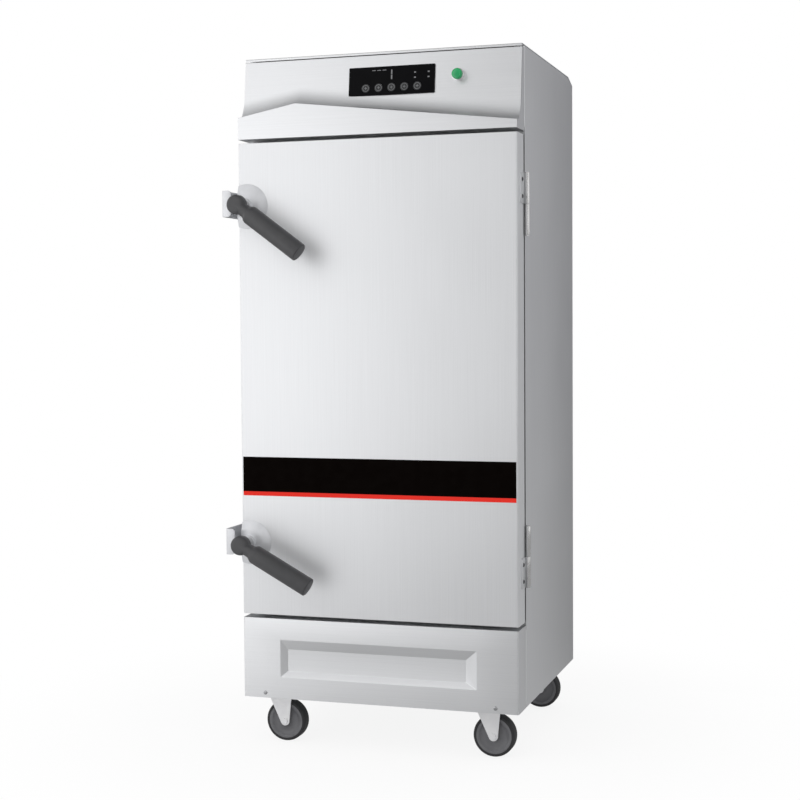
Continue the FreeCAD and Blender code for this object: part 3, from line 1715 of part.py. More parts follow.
# Latch spindles: a shaft through the rosette, with the tongue that lies behind the keeper at rest.
# Latch grips: a round head on the spindle's end and a thick handle that slopes down to the right.
tongue_front = -d.tongue_stand_off - d.tongue_gauge
spindle_end = d.head_depth - d.head_reach - d.spindle_seat
for name, level, rest in LATCHES:
    spindle = new_body(name + "_latch_spindle", latch_x, 0, level)
    drawn = sketch(spindle, "y", spindle_end)
    circle(drawn, 0, 0, d.spindle_radius)
    pad(spindle, drawn, d.spindle_tail - spindle_end)
    drawn = sketch(spindle, "y", tongue_front)
    circle(drawn, 0, 0, d.tongue_hub_radius)
    pad(spindle, drawn, d.tongue_gauge)
    drawn = sketch(spindle, "y", tongue_front)
    root = d.tongue_width / 2
    tip = d.tongue_tip_width / 2
    outline(
        drawn,
        [(0, -root), (0, root), (-d.tongue_reach, tip), (-d.tongue_reach, -tip)],
    )
    pad(spindle, drawn, d.tongue_gauge)
    drawn = sketch(spindle, "z", -root)
    outline(
        drawn,
        [
            (-d.tongue_reach, tongue_front),
            (-d.tongue_reach, tongue_front + d.tongue_ramp),
            (d.tongue_ramp_length - d.tongue_reach, tongue_front),
        ],
    )
    pocket(spindle, drawn, d.tongue_width)
    keep(spindle, name + "_latch_spindle")

    grip = new_body(name + "_latch_grip")
    grip.Placement = FreeCAD.Placement(
        FreeCAD.Vector(), FreeCAD.Rotation(FreeCAD.Vector(0, 1, 0), number(rest))
    )
    place(grip, latch_x, -d.grip_axis, level)
    grip.setExpression("Placement.Rotation.Angle", text(rest))
    head_front = d.grip_axis - d.head_reach
    head_back = head_front + d.head_depth
    drawn = sketch(grip, "x", 0)
    outline(
        drawn,
        [
            (head_front, 0),
            (head_back, 0),
            (head_back, d.head_radius - d.head_round),
            (head_back - d.head_round, d.head_radius, d.head_round, 1),
            (head_front + d.head_round, d.head_radius),
            (head_front, d.head_radius - d.head_round, d.head_round, 1),
        ],
    )
    turn(grip, drawn, "y")
    grip_start = d.grip_neck_length + d.grip_shoulder
    drawn = sketch(grip, "y", 0)
    outline(
        drawn,
        [
            (0, 0),
            (d.grip_length, 0),
            (d.grip_length, d.grip_radius - d.grip_end_round),
            (d.grip_length - d.grip_end_round, d.grip_radius, d.grip_end_round, 1),
            (grip_start, d.grip_radius),
            (d.grip_neck_length, d.grip_neck_radius),
            (0, d.grip_neck_radius),
        ],
    )
    turn(grip, drawn, "x")
    drawn = sketch(grip, "y", head_back)
    circle(drawn, 0, 0, d.spindle_radius + d.spindle_clearance)
    pocket(grip, drawn, d.spindle_seat, -1)
    keep(grip, name + "_latch_grip")


# Latch keepers: folded brackets on the left side panel that reach round in front of the tongues
def keeper(level):
    body = new_body("latch_keeper", -half_width, 0, level + d.keeper_rise)
    thick = d.keeper_gauge
    strike_front = tongue_front - d.keeper_play - thick
    web_back = d.keeper_foot_front + thick
    drawn = sketch(body, "z", d.keeper_height / -2)
    outline(
        drawn,
        [
            (0, d.keeper_foot_back),
            (-thick, d.keeper_foot_back),
            (-thick, web_back),
            (-d.keeper_reach, web_back),
            (-d.keeper_reach, strike_front),
            (d.keeper_strike - d.keeper_reach, strike_front),
            (d.keeper_strike - d.keeper_reach, strike_front + thick),
            (thick - d.keeper_reach, strike_front + thick),
            (thick - d.keeper_reach, d.keeper_foot_front),
            (0, d.keeper_foot_front),
        ],
    )
    pad(body, drawn, d.keeper_height)
    return body


gather("latch_keepers", [keeper(level) for name, level, rest in LATCHES])

# Nothing is written until every object and every sub-part is sound
doc.recompute()
for thing in doc.Objects:
    if "Invalid" in thing.State or "Error" in thing.State:
        raise RuntimeError(f"{thing.Label}: {thing.State}")
for thing in SUBPARTS:
    if thing.Shape.isNull() or not thing.Shape.isValid():
        raise RuntimeError(f"{thing.Label}: its shape is not sound")

os.makedirs("parts", exist_ok=True)
for thing in SUBPARTS:
    thing.Shape.exportStep(f"parts/{thing.Label}.step")
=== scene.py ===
import math

import bmesh
import bpy
from mathutils import Matrix, Vector


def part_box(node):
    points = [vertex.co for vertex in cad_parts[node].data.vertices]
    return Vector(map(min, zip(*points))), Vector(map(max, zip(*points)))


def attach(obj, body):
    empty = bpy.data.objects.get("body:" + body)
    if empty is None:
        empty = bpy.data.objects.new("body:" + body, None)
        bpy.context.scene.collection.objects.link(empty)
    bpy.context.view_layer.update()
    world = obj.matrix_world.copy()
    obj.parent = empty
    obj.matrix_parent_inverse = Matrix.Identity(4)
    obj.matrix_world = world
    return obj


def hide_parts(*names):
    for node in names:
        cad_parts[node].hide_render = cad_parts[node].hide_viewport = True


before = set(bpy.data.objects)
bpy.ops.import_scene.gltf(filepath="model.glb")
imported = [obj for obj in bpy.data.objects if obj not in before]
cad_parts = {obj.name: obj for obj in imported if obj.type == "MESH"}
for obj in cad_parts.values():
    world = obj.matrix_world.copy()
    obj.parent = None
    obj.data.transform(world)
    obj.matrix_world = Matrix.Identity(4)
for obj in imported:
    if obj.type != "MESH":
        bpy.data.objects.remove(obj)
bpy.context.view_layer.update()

# Side panels: sheets of 1.2 mm stainless steel, brushed lengthwise and folded in at the front, the
# back and the top. They are spot-welded to the frame, and their rear top corner slopes.
PANEL_GAUGE = 0.0012
FOLD_RADIUS = 0.003
SLOPE_RUN = 0.053
SLOPE_DROP = 0.016
MM = 0.001
BRUSHED_PALE = "#e8e9eb"
BRUSHED_DARK = "#e2e3e5"


def linear(code):
    """The linear colour of an sRGB hex code."""
    parts = [int(code[i : i + 2], 16) / 255 for i in (1, 3, 5)]
    return [p / 12.92 if p <= 0.04045 else ((p + 0.055) / 1.055) ** 2.4 for p in parts] + [1]


def add(tree, kind, settings=None, **links):
    """Add a node, with its settings and with a value or a link for each socket named or numbered."""
    made = tree.nodes.new(kind)
    for name, value in (settings or {}).items():
        setattr(made, name, value)
    for name, value in links.items():
        socket = made.inputs[int(name[1:]) if name[0] == "_" else name.replace("_", " ")]
        if isinstance(value, bpy.types.NodeSocket):
            tree.links.new(value, socket)
        else:
            socket.default_value = value
    return made


def ramp(tree, level, *stops):
    """Colours or grey levels along a ramp, each given with its place."""
    made = add(tree, "ShaderNodeValToRGB", Fac=level)
    line = made.color_ramp.elements
    while len(line) < len(stops):
        line.new(0.5)
    for element, (place, shade) in zip(line, stops):
        element.position = place
        element.color = linear(shade) if isinstance(shade, str) else (shade, shade, shade, 1)
    return made.outputs["Color"]


def new_finish(name, **settings):
    """A material with one shader, its plain values set on the shader's own sockets."""
    finish = bpy.data.materials.new(name)
    finish.use_nodes = True
    tree = finish.node_tree
    tree.nodes.clear()
    shader = add(tree, "ShaderNodeBsdfPrincipled", **settings)
    add(tree, "ShaderNodeOutputMaterial", Surface=shader.outputs["BSDF"])
    return finish, tree, shader


def brushed_steel(name, pale, dark, rough, grain, depth=0.12, metal=1.0):
    """Stainless steel ground with a belt: fine parallel lines in a soft sheen, slightly cloudy.

    The grain is the lines' spacing along X, Y and Z in metres. The real lines lie 0.1 mm apart and
    are drawn about ten times coarser, so that they show.
    """
    finish, tree, shader = new_finish(name, Metallic=metal)
    place = add(tree, "ShaderNodeTexCoord").outputs["Object"]
    scale = [1 / spacing for spacing in grain]
    stretched = add(tree, "ShaderNodeMapping", Vector=place, Scale=scale).outputs["Vector"]
    lines = add(tree, "ShaderNodeTexNoise", Vector=stretched, Scale=1.0, Detail=3.0).outputs["Fac"]
    clouds = add(tree, "ShaderNodeTexNoise", Vector=place, Scale=4.0, Detail=1.0).outputs["Fac"]
    mixed = add(tree, "ShaderNodeMath", {"operation": "MULTIPLY_ADD"}, _0=clouds, _1=0.5, _2=lines)
    both = mixed.outputs[0]
    tree.links.new(ramp(tree, both, (0.5, dark), (0.95, pale)), shader.inputs["Base Color"])
    tree.links.new(ramp(tree, both, (0.5, rough), (0.95, rough + 0.07)), shader.inputs["Roughness"])
    bump = add(tree, "ShaderNodeBump", Height=lines, Strength=depth, Distance=0.0002)
    tree.links.new(bump.outputs["Normal"], shader.inputs["Normal"])
    return finish


UPRIGHT_GRAIN = (0.0011, 0.0011, 0.25)
LEVEL_GRAIN = (0.25, 0.0011, 0.0011)
# The sides' sheen breaks into upright lines, and that of the head, back and plinth into level ones.
upright_steel = brushed_steel(
    "stainless_brushed_upright", BRUSHED_PALE, BRUSHED_DARK, rough=0.45, grain=UPRIGHT_GRAIN
)
level_steel = brushed_steel(
    "stainless_brushed_level", BRUSHED_PALE, BRUSHED_DARK, rough=0.4, grain=LEVEL_GRAIN
)

middle_x = (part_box("left_side_panel")[0].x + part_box("right_side_panel")[1].x) / 2
front_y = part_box("door_skin")[0].y


def spot(x, y, z):
    """A point given in mm from the middle of the cabinet, the door's front face and the floor."""
    return Vector((middle_x + x / 1000, front_y + y / 1000, z / 1000))


def leave():
    """Object mode with nothing selected."""
    if bpy.context.object and bpy.context.object.mode == "EDIT":
        bpy.ops.object.mode_set(mode="OBJECT")
    bpy.ops.object.select_all(action="DESELECT")


def take(piece):
    """Make a piece the only one selected."""
    leave()
    bpy.context.view_layer.objects.active = piece
    piece.select_set(True)


def settle(name):
    """Name the new primitive, put its place and size into its mesh and open it for editing."""
    piece = bpy.context.object
    piece.name = name
    piece.data.name = name
    bpy.ops.object.transform_apply()
    bpy.ops.object.mode_set(mode="EDIT")
    bpy.ops.mesh.select_mode(type="VERT")
    bpy.ops.mesh.select_all(action="SELECT")
    return piece


def block(name, low, high):
    """A box between two corners, open for editing."""
    leave()
    bpy.ops.mesh.primitive_cube_add(size=1, location=(low + high) / 2, scale=high - low)
    return settle(name)


def pick(kind, test):
    """Select only the corners, edges or faces whose middle and direction pass a test."""
    bpy.ops.mesh.select_mode(type=kind)
    bpy.ops.mesh.select_all(action="DESELECT")
    shape = bmesh.from_edit_mesh(bpy.context.object.data)
    if kind == "VERT":
        for corner in shape.verts:
            corner.select_set(test(corner.co))
    elif kind == "EDGE":
        for edge in shape.edges:
            start, end = edge.verts
            edge.select_set(test((start.co + end.co) / 2, (end.co - start.co).normalized()))
    else:
        for face in shape.faces:
            face.select_set(test(face.calc_center_median(), face.normal))
    bmesh.update_edit_mesh(bpy.context.object.data)


def round_edges(radius, segments, test):
    """Round the edges that pass a test."""
    pick("EDGE", test)
    bpy.ops.mesh.bevel(offset=radius, segments=segments, affect="EDGES")


def remove_faces(test):
    """Open the mesh where its faces pass a test."""
    pick("FACE", test)
    bpy.ops.mesh.delete(type="FACE")


def cut(point, normal, clear=False):
    """Cut the whole mesh with a plane, and if asked clear and close the side that its normal shows."""
    bpy.ops.mesh.select_all(action="SELECT")
    bpy.ops.mesh.bisect(plane_co=point, plane_no=normal, use_fill=clear, clear_outer=clear)


def modify(piece, kind, **settings):
    """Add a modifier and apply it."""
    take(piece)
    change = piece.modifiers.new(kind.lower(), kind)
    for name, value in settings.items():
        setattr(change, name, value)
    bpy.ops.object.modifier_apply(modifier=change.name)


def near(a, b):
    """True where two coordinates are the same but for rounding."""
    return abs(a - b) < 2e-5


def fit(piece, finish, slot, body, *nodes, angle=35):
    """Finish a piece: smooth its curves and give it its material, its nodes and its body. Its slot is not
    used.
    """
    take(piece)
    bpy.ops.object.shade_smooth_by_angle(angle=math.radians(angle))
    if not piece.data.materials:
        piece.data.materials.append(finish)
    if nodes:
        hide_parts(*nodes)
    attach(piece, body)


for name, outward in (("left_side_panel", -1), ("right_side_panel", 1)):
    low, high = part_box(name)
    panel = block(name + "_sheet", low, high)
    face = high.x if outward > 0 else low.x
    inner = low.x if outward > 0 else high.x
    cut(Vector((0, high.y - SLOPE_RUN, high.z)), (0, SLOPE_DROP, SLOPE_RUN), clear=True)
    round_edges(FOLD_RADIUS, 4, lambda m, way: near(m.x, face) and m.z > low.z + MM)
    remove_faces(lambda m, n: near(m.x, inner) or near(m.z, low.z))
    modify(panel, "SOLIDIFY", thickness=PANEL_GAUGE, offset=-1)
    fit(panel, upright_steel, "brushed_stainless", "cabinet", name)

# Back panel: a flat stainless sheet pierced for the pipes and the cable, with six louvres whose
# hoods are pressed out over the slots, so that the heat of the switchgear can leave.
CABINET_DEPTH = 630
LOUVRES = 6
LOUVRE_PITCH = 14
LOUVRE_LOWEST = 1500
LOUVRE_HALF = 57
HOOD_REACH = 5
HOOD_HEIGHT = 9
HOOD_SLOPE = 0.0055
HOOD_TAPER = 0.92
HOOD_ROUNDING = 0.0015
HOOD_GAUGE = 0.0009


def dress(finish, slot, *nodes):
    """Give CAD nodes that have the right shape their material. Their slot is not used."""
    for node in nodes:
        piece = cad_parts[node]
        if not piece.material_slots:
            piece.data.materials.append(finish)
        for held in piece.material_slots:
            held.material = finish


def copy_of(piece, name, move):
    """A copy with its own mesh, moved."""
    take(piece)
    bpy.ops.object.duplicate()
    bpy.ops.transform.translate(value=move)
    bpy.ops.object.transform_apply()
    made = bpy.context.object
    made.name = name
    made.data.name = name
    return made


dress(level_steel, "brushed_stainless", "back_panel")
hood = block(
    "louvre_hood_1",
    spot(-LOUVRE_HALF, CABINET_DEPTH, LOUVRE_LOWEST),
    spot(LOUVRE_HALF, CABINET_DEPTH + HOOD_REACH, LOUVRE_LOWEST + HOOD_HEIGHT),
)
hood_root = spot(0, CABINET_DEPTH, LOUVRE_LOWEST)
hood_middle_z = hood_root.z + HOOD_HEIGHT / 2000
outer_y = spot(0, CABINET_DEPTH + HOOD_REACH, 0).y
pick("VERT", lambda co: near(co.y, outer_y) and co.z > hood_middle_z)
bpy.ops.transform.translate(value=(0, 0, -HOOD_SLOPE))
pick("VERT", lambda co: near(co.y, outer_y))
bpy.ops.transform.resize(value=(HOOD_TAPER, 1, 1), center_override=hood_root)
round_edges(HOOD_ROUNDING, 3, lambda m, way: m.y > hood_root.y + MM and m.z > hood_root.z + MM)
remove_faces(lambda m, n: near(m.y, hood_root.y) or n.z < -0.9)
modify(hood, "SOLIDIFY", thickness=HOOD_GAUGE, offset=-1)
hoods = [hood]
for i in range(1, LOUVRES):
    hoods.append(copy_of(hood, f"louvre_hood_{i + 1}", (0, 0, i * LOUVRE_PITCH / 1000)))
for piece in hoods:
    fit(piece, level_steel, "brushed_stainless", "cabinet")

# Top cover: one stainless sheet brushed along its width, folded down at the front, sloped at the
# back and folded down behind. It lies on the side panels and its cut edges show above them.
HALF_WIDTH = 340
CABINET_TOP = 1650
FACE_SETBACK = 53
FRONT_LIP_BOTTOM = 1644
REAR_LIP_BOTTOM = 1628
COVER_ROUNDING = 0.0022
cover = block(
    "top_cover_sheet",
    spot(-HALF_WIDTH, FACE_SETBACK, REAR_LIP_BOTTOM),
    spot(HALF_WIDTH, CABINET_DEPTH, CABINET_TOP),
)
cut(spot(0, CABINET_DEPTH - SLOPE_RUN / MM, CABINET_TOP), (0, SLOPE_DROP, SLOPE_RUN), clear=True)
front_lip, rear_lip = FRONT_LIP_BOTTOM / 1000, REAR_LIP_BOTTOM / 1000
pick("VERT", lambda co: near(co.y, spot(0, FACE_SETBACK, 0).y) and near(co.z, rear_lip))
bpy.ops.transform.translate(value=(0, 0, front_lip - rear_lip))
remove_faces(lambda m, n: abs(n.x) > 0.9 or n.z < -0.5)
round_edges(
    COVER_ROUNDING, 4,
    lambda m, way: abs(way.x) > 0.9 and m.z > rear_lip + MM and not near(m.z, front_lip),
)
modify(cover, "SOLIDIFY", thickness=PANEL_GAUGE, offset=-1)
fit(cover, level_steel, "brushed_stainless", "cabinet", "top_cover")

# Head fascia: a stainless pressing whose lower face ends in a crisp crest that rises to a peak on
# the left. Behind the crest a ledge runs in, turns up in a cove and leans back to the top cover.
HEAD_BOTTOM = 1453
FACE_TOP = 1644
FACE_EDGE = 1642.4
LEAN = math.tan(math.radians(6.8))
LEFT_CREST = 1505
PEAK_X = -194
PEAK_CREST = 1533
RIGHT_CREST = 1472
COVE_RISE = 21.7
COVE_TURN = math.radians(42)
COVE_RUN = 28.4
COVE_BENDS = (0.0234, 0.0049)
HEAD_DEPTH = 73.5
SEAM_FOLD = 0.012
FOOT_ROUNDING = 0.0012
CREST_ROUNDING = 0.0009
EDGE_ROUNDING = 0.0015
# The corners that a raised crest takes along: how far behind the front they begin and end, up to
# which level they lie, and how far they shift back for each millimetre of rise.
CREST_FROM = 1.47
CREST_ZONES = ((-0.001, 0.003, 1.51, 0), (0.003, 0.06, 1.555, LEAN))


def wire(name, points, segments=4):
    """A line through points, each given with its rounding in metres, open for editing."""
    leave()
    bpy.ops.mesh.primitive_plane_add(size=0.001, location=points[0][0])
    piece = settle(name)
    bpy.ops.mesh.merge(type="CENTER")
    for before, here in zip(points, points[1:]):
        bpy.ops.mesh.extrude_vertices_move(TRANSFORM_OT_translate={"value": here[0] - before[0]})
    for here, rounding in points:
        if rounding:
            pick("VERT", lambda co: (co - here).length < 1e-6)
            bpy.ops.mesh.bevel(offset=rounding, segments=segments, affect="VERTICES")
    return piece


def sweep(*steps):
    """Draw the whole line out, step after step."""
    bpy.ops.mesh.select_all(action="SELECT")
    for step in steps:
        bpy.ops.mesh.extrude_region_move(TRANSFORM_OT_translate={"value": step})


def face_y(level):
    """How far the leaning face stands behind the door's front at a level, in mm."""
    return FACE_SETBACK - (FACE_TOP - level) * LEAN


left_x = spot(-HALF_WIDTH, 0, 0).x
peak_x = spot(PEAK_X, 0, 0).x
right_x = spot(HALF_WIDTH, 0, 0).x
ahead = spot(0, 0, 0).y
cove_top = spot(-HALF_WIDTH, face_y(LEFT_CREST + COVE_RISE), LEFT_CREST + COVE_RISE)
cove_foot = cove_top - Vector((0, math.sin(COVE_TURN), math.cos(COVE_TURN))) * COVE_RUN / 1000
fascia = wire(
    "head_fascia_pressing",
    [
        (spot(-HALF_WIDTH, HEAD_DEPTH, HEAD_BOTTOM), 0),
        (spot(-HALF_WIDTH, 0, HEAD_BOTTOM), FOOT_ROUNDING),
        (spot(-HALF_WIDTH, 0, LEFT_CREST), CREST_ROUNDING),
        (cove_foot, COVE_BENDS[1]),
        (cove_top, COVE_BENDS[0]),
        (spot(-HALF_WIDTH, face_y(FACE_EDGE), FACE_EDGE), EDGE_ROUNDING),
        (spot(-HALF_WIDTH, HEAD_DEPTH, FACE_EDGE), 0),
    ],
    segments=10,
)
sweep((peak_x - left_x, 0, 0), (right_x - peak_x, 0, 0))
for x, crest in ((peak_x, PEAK_CREST), (right_x, RIGHT_CREST)):
    rise = (crest - LEFT_CREST) / 1000
    for start, end, top, shift in CREST_ZONES:
        pick("VERT", lambda co: near(co.x, x) and start < co.y - ahead < end and CREST_FROM < co.z < top)
        bpy.ops.transform.translate(value=(0, rise * shift, rise))
seam_y = spot(0, HEAD_DEPTH, 0).y
for x, inward in ((left_x, SEAM_FOLD), (right_x, -SEAM_FOLD)):
    pick("EDGE", lambda m, way: near(m.x, x) and abs(way.x) < 0.1)
    bpy.ops.mesh.edge_face_add()
    pick("EDGE", lambda m, way: near(m.x, x) and near(m.y, seam_y) and abs(way.z) > 0.9)
    bpy.ops.mesh.extrude_region_move(TRANSFORM_OT_translate={"value": (inward, 0, 0)})
bpy.ops.mesh.select_all(action="SELECT")
bpy.ops.mesh.normals_make_consistent(inside=False)
modify(fascia, "SOLIDIFY", thickness=PANEL_GAUGE, offset=-1)
fit(fascia, level_steel, "brushed_stainless", "cabinet", "head_fascia", angle=30)

# Display window: a plate of black acrylic, gloss on its face, over the control board. It carries
# one digit, a few bars and dots in grey print, and the five keys come through it in a row.
WINDOW_X = 31
WINDOW_FACE = 0.0025
DIGIT_LEVEL = 1594
DIGIT_STEP = 6
DIGIT_BAR = (0.0032, 0.0105)
BARS_LEVEL = 1605
BAR_PITCH = 13
BAR_SIZE = (0.009, 0.0016)
DOTS_X = 88
DOTS_LEVEL = 1584
DOT_PITCHES = (33, 12)
DOT_SIZE = (0.0045, 0.003)
FACE_NORMAL = Vector((0, -math.cos(math.atan(LEAN)), math.sin(math.atan(LEAN))))
FACE_UP = Vector((0, math.sin(math.atan(LEAN)), math.cos(math.atan(LEAN))))
PRINT_LIFT = 0.00012


def grained(name, pale, dark, grain, rough, spread, height, **settings):
    """A material with clouds in its colour and a fine grain in its gloss and its surface.

    The grain is the size of the marks and the height is how far they stand up, both in metres.
    """
    finish, tree, shader = new_finish(name, **settings)
    place = add(tree, "ShaderNodeTexCoord").outputs["Object"]
    clouds = add(tree, "ShaderNodeTexNoise", Vector=place, Scale=40.0, Detail=2.0).outputs["Fac"]
    tree.links.new(ramp(tree, clouds, (0.35, dark), (0.65, pale)), shader.inputs["Base Color"])
    marks = add(tree, "ShaderNodeTexNoise", Vector=place, Scale=1 / grain, Detail=3.0).outputs["Fac"]
    gloss = ramp(tree, marks, (0.3, rough - spread), (0.7, rough + spread))
    tree.links.new(gloss, shader.inputs["Roughness"])
    bump = add(tree, "ShaderNodeBump", Height=marks, Strength=1.0, Distance=height)
    tree.links.new(bump.outputs["Normal"], shader.inputs["Normal"])
    return finish


# Cast acrylic is black all through, with a smooth face that shows hardly a ripple.
black_acrylic = grained(
    "acrylic_black_gloss", "#09090b", "#070709",
    grain=0.02, rough=0.3, spread=0.02, height=0.00003, Specular_IOR_Level=0.05,
)
# Screen ink lies on it as a dull, slightly uneven film.
printing = grained(
    "screen_print_grey", "#7c7d7f", "#737476",
    grain=0.0006, rough=0.5, spread=0.08, height=0.00001,
)
dress(black_acrylic, "window_black", "display_window")


def on_face(x, level, lift=0.0):
    """A point on the leaning face, and so far in front of it in metres."""
    return spot(x, face_y(level), level) + FACE_NORMAL * lift


def lay_on_face(centre):
    """Turn the new primitive from lying flat to lying on the leaning face at a point."""
    piece = bpy.context.object
    turned = Matrix((Vector((1, 0, 0)), FACE_UP, FACE_NORMAL)).transposed().to_4x4()
    piece.matrix_world = Matrix.Translation(centre) @ turned @ Matrix.Diagonal(piece.scale).to_4x4()


def mark(name, centre, wide, high):
    """A small printed bar on the window."""
    leave()
    bpy.ops.mesh.primitive_cube_add(size=1, location=(0, 0, 0), scale=(wide, high, PRINT_LIFT))
    lay_on_face(centre)
    return settle(name)


def weld(name, pieces):
    """Join pieces into one."""
    leave()
    for piece in pieces:
        piece.select_set(True)
    bpy.context.view_layer.objects.active = pieces[0]
    bpy.ops.object.join()
    made = bpy.context.object
    made.name = name
    made.data.name = name
    return made


marks = []
for way, part in ((1, "upper"), (-1, "lower")):
    centre = on_face(WINDOW_X, DIGIT_LEVEL + DIGIT_STEP * way, WINDOW_FACE)
    marks.append(mark(f"digit_{part}_bar", centre, *DIGIT_BAR))
for i in range(3):
    centre = on_face(BAR_PITCH - BAR_PITCH * i, BARS_LEVEL, WINDOW_FACE)
    marks.append(mark(f"window_bar_{i + 1}", centre, *BAR_SIZE))
for i in range(4):
    row, column = divmod(i, 2)
    centre = on_face(DOTS_X + DOT_PITCHES[0] * column, DOTS_LEVEL + DOT_PITCHES[1] * row, WINDOW_FACE)
    marks.append(mark(f"window_dot_{i + 1}", centre, *DOT_SIZE))
window_print = weld("window_print", marks)
fit(window_print, printing, "key_cap", "cabinet")

# Keys: round moulded caps of dark grey plastic in the window's holes, each with a printed ring and
# a small sign of strokes on it. Their stems press the switches on the board.
KEYS = 5
KEY_PITCH = 31.5
KEY_ROW = 1564
CAP_OUTLINE = ((1.7, 0), (1.7, 10), (3, 10, 0.5), (3, 8.4, 0.2), (2.85, 8.2), (2.85, 0))
RING_OUTLINE = ((-0.1, 6.9), (0.12, 6.9), (0.12, 7.7), (-0.1, 7.7), (-0.1, 6.9))
CAP_DISH = 0.00285
SIGN_LIFT = 0.0029
STROKE_LONG = 0.0066
STROKE_WIDE = 0.0011
# ABS from a spark-eroded mould has a fine satin grain that breaks up its shine.
key_plastic = grained(
    "abs_moulded_dark", "#1f2022", "#1b1c1e",
    grain=0.0005, rough=0.42, spread=0.07, height=0.00002,
)


def turned(name, foot, axis, outline, steps=48):
    """A form spun about an axis: its outline gives distance along it, radius and rounding, in mm."""
    axis = Vector(axis).normalized()
    across = axis.orthogonal().normalized()
    points = []
    for step in outline:
        here = foot + axis * (step[0] / 1000) + across * (step[1] / 1000)
        points.append((here, step[2] / 1000 if len(step) > 2 else 0))
    piece = wire(name, points)
    bpy.ops.mesh.select_all(action="SELECT")
    bpy.ops.mesh.spin(steps=steps, angle=math.tau, center=foot, axis=axis)
    bpy.ops.mesh.select_all(action="SELECT")
    bpy.ops.mesh.remove_doubles(threshold=2e-6)
    bpy.ops.mesh.normals_make_consistent(inside=False)
    return piece


first_x = WINDOW_X - KEY_PITCH * (KEYS - 1) / 2
key_cap = turned("key_cap_1", on_face(first_x, KEY_ROW), FACE_NORMAL, CAP_OUTLINE)
key_ring = turned("key_ring_1", on_face(first_x, KEY_ROW, CAP_DISH), FACE_NORMAL, RING_OUTLINE)
sign_place = on_face(first_x, KEY_ROW, SIGN_LIFT)
level_stroke = mark("key_sign_1", sign_place, STROKE_LONG, STROKE_WIDE)
upright_stroke = mark("key_stroke_1", sign_place, STROKE_WIDE, STROKE_LONG)
caps = [key_cap]
rings = [weld("key_print_1", [key_ring, level_stroke, upright_stroke])]
for i in range(1, KEYS):
    move = (KEY_PITCH * i / 1000, 0, 0)
    caps.append(copy_of(key_cap, f"key_cap_{i + 1}", move))
    rings.append(copy_of(rings[0], f"key_print_{i + 1}", move))
for i, (cap, ring) in enumerate(zip(caps, rings), start=1):
    fit(cap, key_plastic, "key_cap", f"key_{i}", f"key_{i}")
    fit(ring, printing, "key_cap", f"key_{i}")

# Push button: a bright chromed bezel screwed through the fascia, with a domed lens of clear green
# acrylic in it. The lens sinks 5 mm into the bezel, and its back leaves room for that.
BUTTON_X = 192
BUTTON_Z = 1584
BEZEL_OUTLINE = (
    (-6, 11), (0, 11), (0, 15), (6, 15, 1), (9, 13.6, 0.7),
    (9, 12.7), (2, 12.7), (2, 9), (-6, 9), (-6, 11),
)
LENS_OUTLINE = ((5.4, 0), (5.4, 8.5), (7.4, 8.5), (7.4, 12.5), (17, 12.5, 2), (19.4, 9, 2.5), (20, 0))
# Chrome plate on turned brass is a mirror, with the turning still faintly under it.
chrome = grained(
    "brass_chrome_plated", "#e9e9e9", "#e2e2e2",
    grain=0.0008, rough=0.12, spread=0.04, height=0.000005, Metallic=1.0,
)
# Clear green acrylic scatters light inside and has a bright, slightly wavy skin.
green_acrylic = grained(
    "acrylic_green_clear", "#2b9d62", "#25935a",
    grain=0.004, rough=0.12, spread=0.03, height=0.00003,
    IOR=1.49, Subsurface_Weight=0.3, Subsurface_Radius=(0.002, 0.006, 0.003), Subsurface_Scale=1.0,
)
button_seat = on_face(BUTTON_X, BUTTON_Z)
bezel = turned("push_button_bezel", button_seat, FACE_NORMAL, BEZEL_OUTLINE, steps=64)
lens = turned("push_button_lens_moulding", button_seat, FACE_NORMAL, LENS_OUTLINE, steps=64)
fit(bezel, chrome, "bright_stainless", "cabinet", "push_button_body")
fit(lens, green_acrylic, "green_lens", "push_button", "push_button_lens")

# Plinth panel: a folded stainless front below the door, with a rectangular recess pressed into it
# whose four flanks are bevelled. Two domed screws near its foot hold it to the base pan.
PLINTH_FOOT = 117
PLINTH_TOP = 310
RECESS_LEFT = -245.5
RECESS_RIGHT = 240.5
RECESS_BOTTOM = 169
RECESS_TOP = 259
RECESS_BEVEL = 0.018
RECESS_DEPTH = 0.011
RECESS_ROUNDING = 0.0009
TOP_ROUNDING = 0.0012
# Each side of the recess's floor: how far from the middle its corners lie at least, which way it
# faces and how far it moves out that way, in metres. It makes the four flanks unlike, as seen.
RECESS_SHIFTS = (
    (0.15, (1, 0, 0), -0.010),
    (0.15, (-1, 0, 0), 0.0025),
    (0.02, (0, 0, 1), -0.006),
    (0.02, (0, 0, -1), 0.005),
)
EDGE_RADIUS = 0.004
plinth = block(
    "plinth_panel_pressing",
    spot(-HALF_WIDTH, 0, PLINTH_FOOT),
    spot(HALF_WIDTH, HEAD_DEPTH, PLINTH_TOP),
)
foot_z, top_z = PLINTH_FOOT / 1000, PLINTH_TOP / 1000
round_edges(EDGE_RADIUS, 5, lambda m, way: abs(way.z) > 0.9 and near(m.y, ahead))
for x in (RECESS_LEFT, RECESS_RIGHT):
    cut(spot(x, 0, 0), (1, 0, 0))
for z in (RECESS_BOTTOM, RECESS_TOP):
    cut(spot(0, 0, z), (0, 0, 1))
recess_middle = spot((RECESS_LEFT + RECESS_RIGHT) / 2, 0, (RECESS_BOTTOM + RECESS_TOP) / 2)
pick("FACE", lambda m, n: (m - recess_middle).length < 0.02 and n.y < -0.9)
bpy.ops.mesh.inset(thickness=RECESS_BEVEL, depth=-RECESS_DEPTH)
floor_y = ahead + RECESS_DEPTH
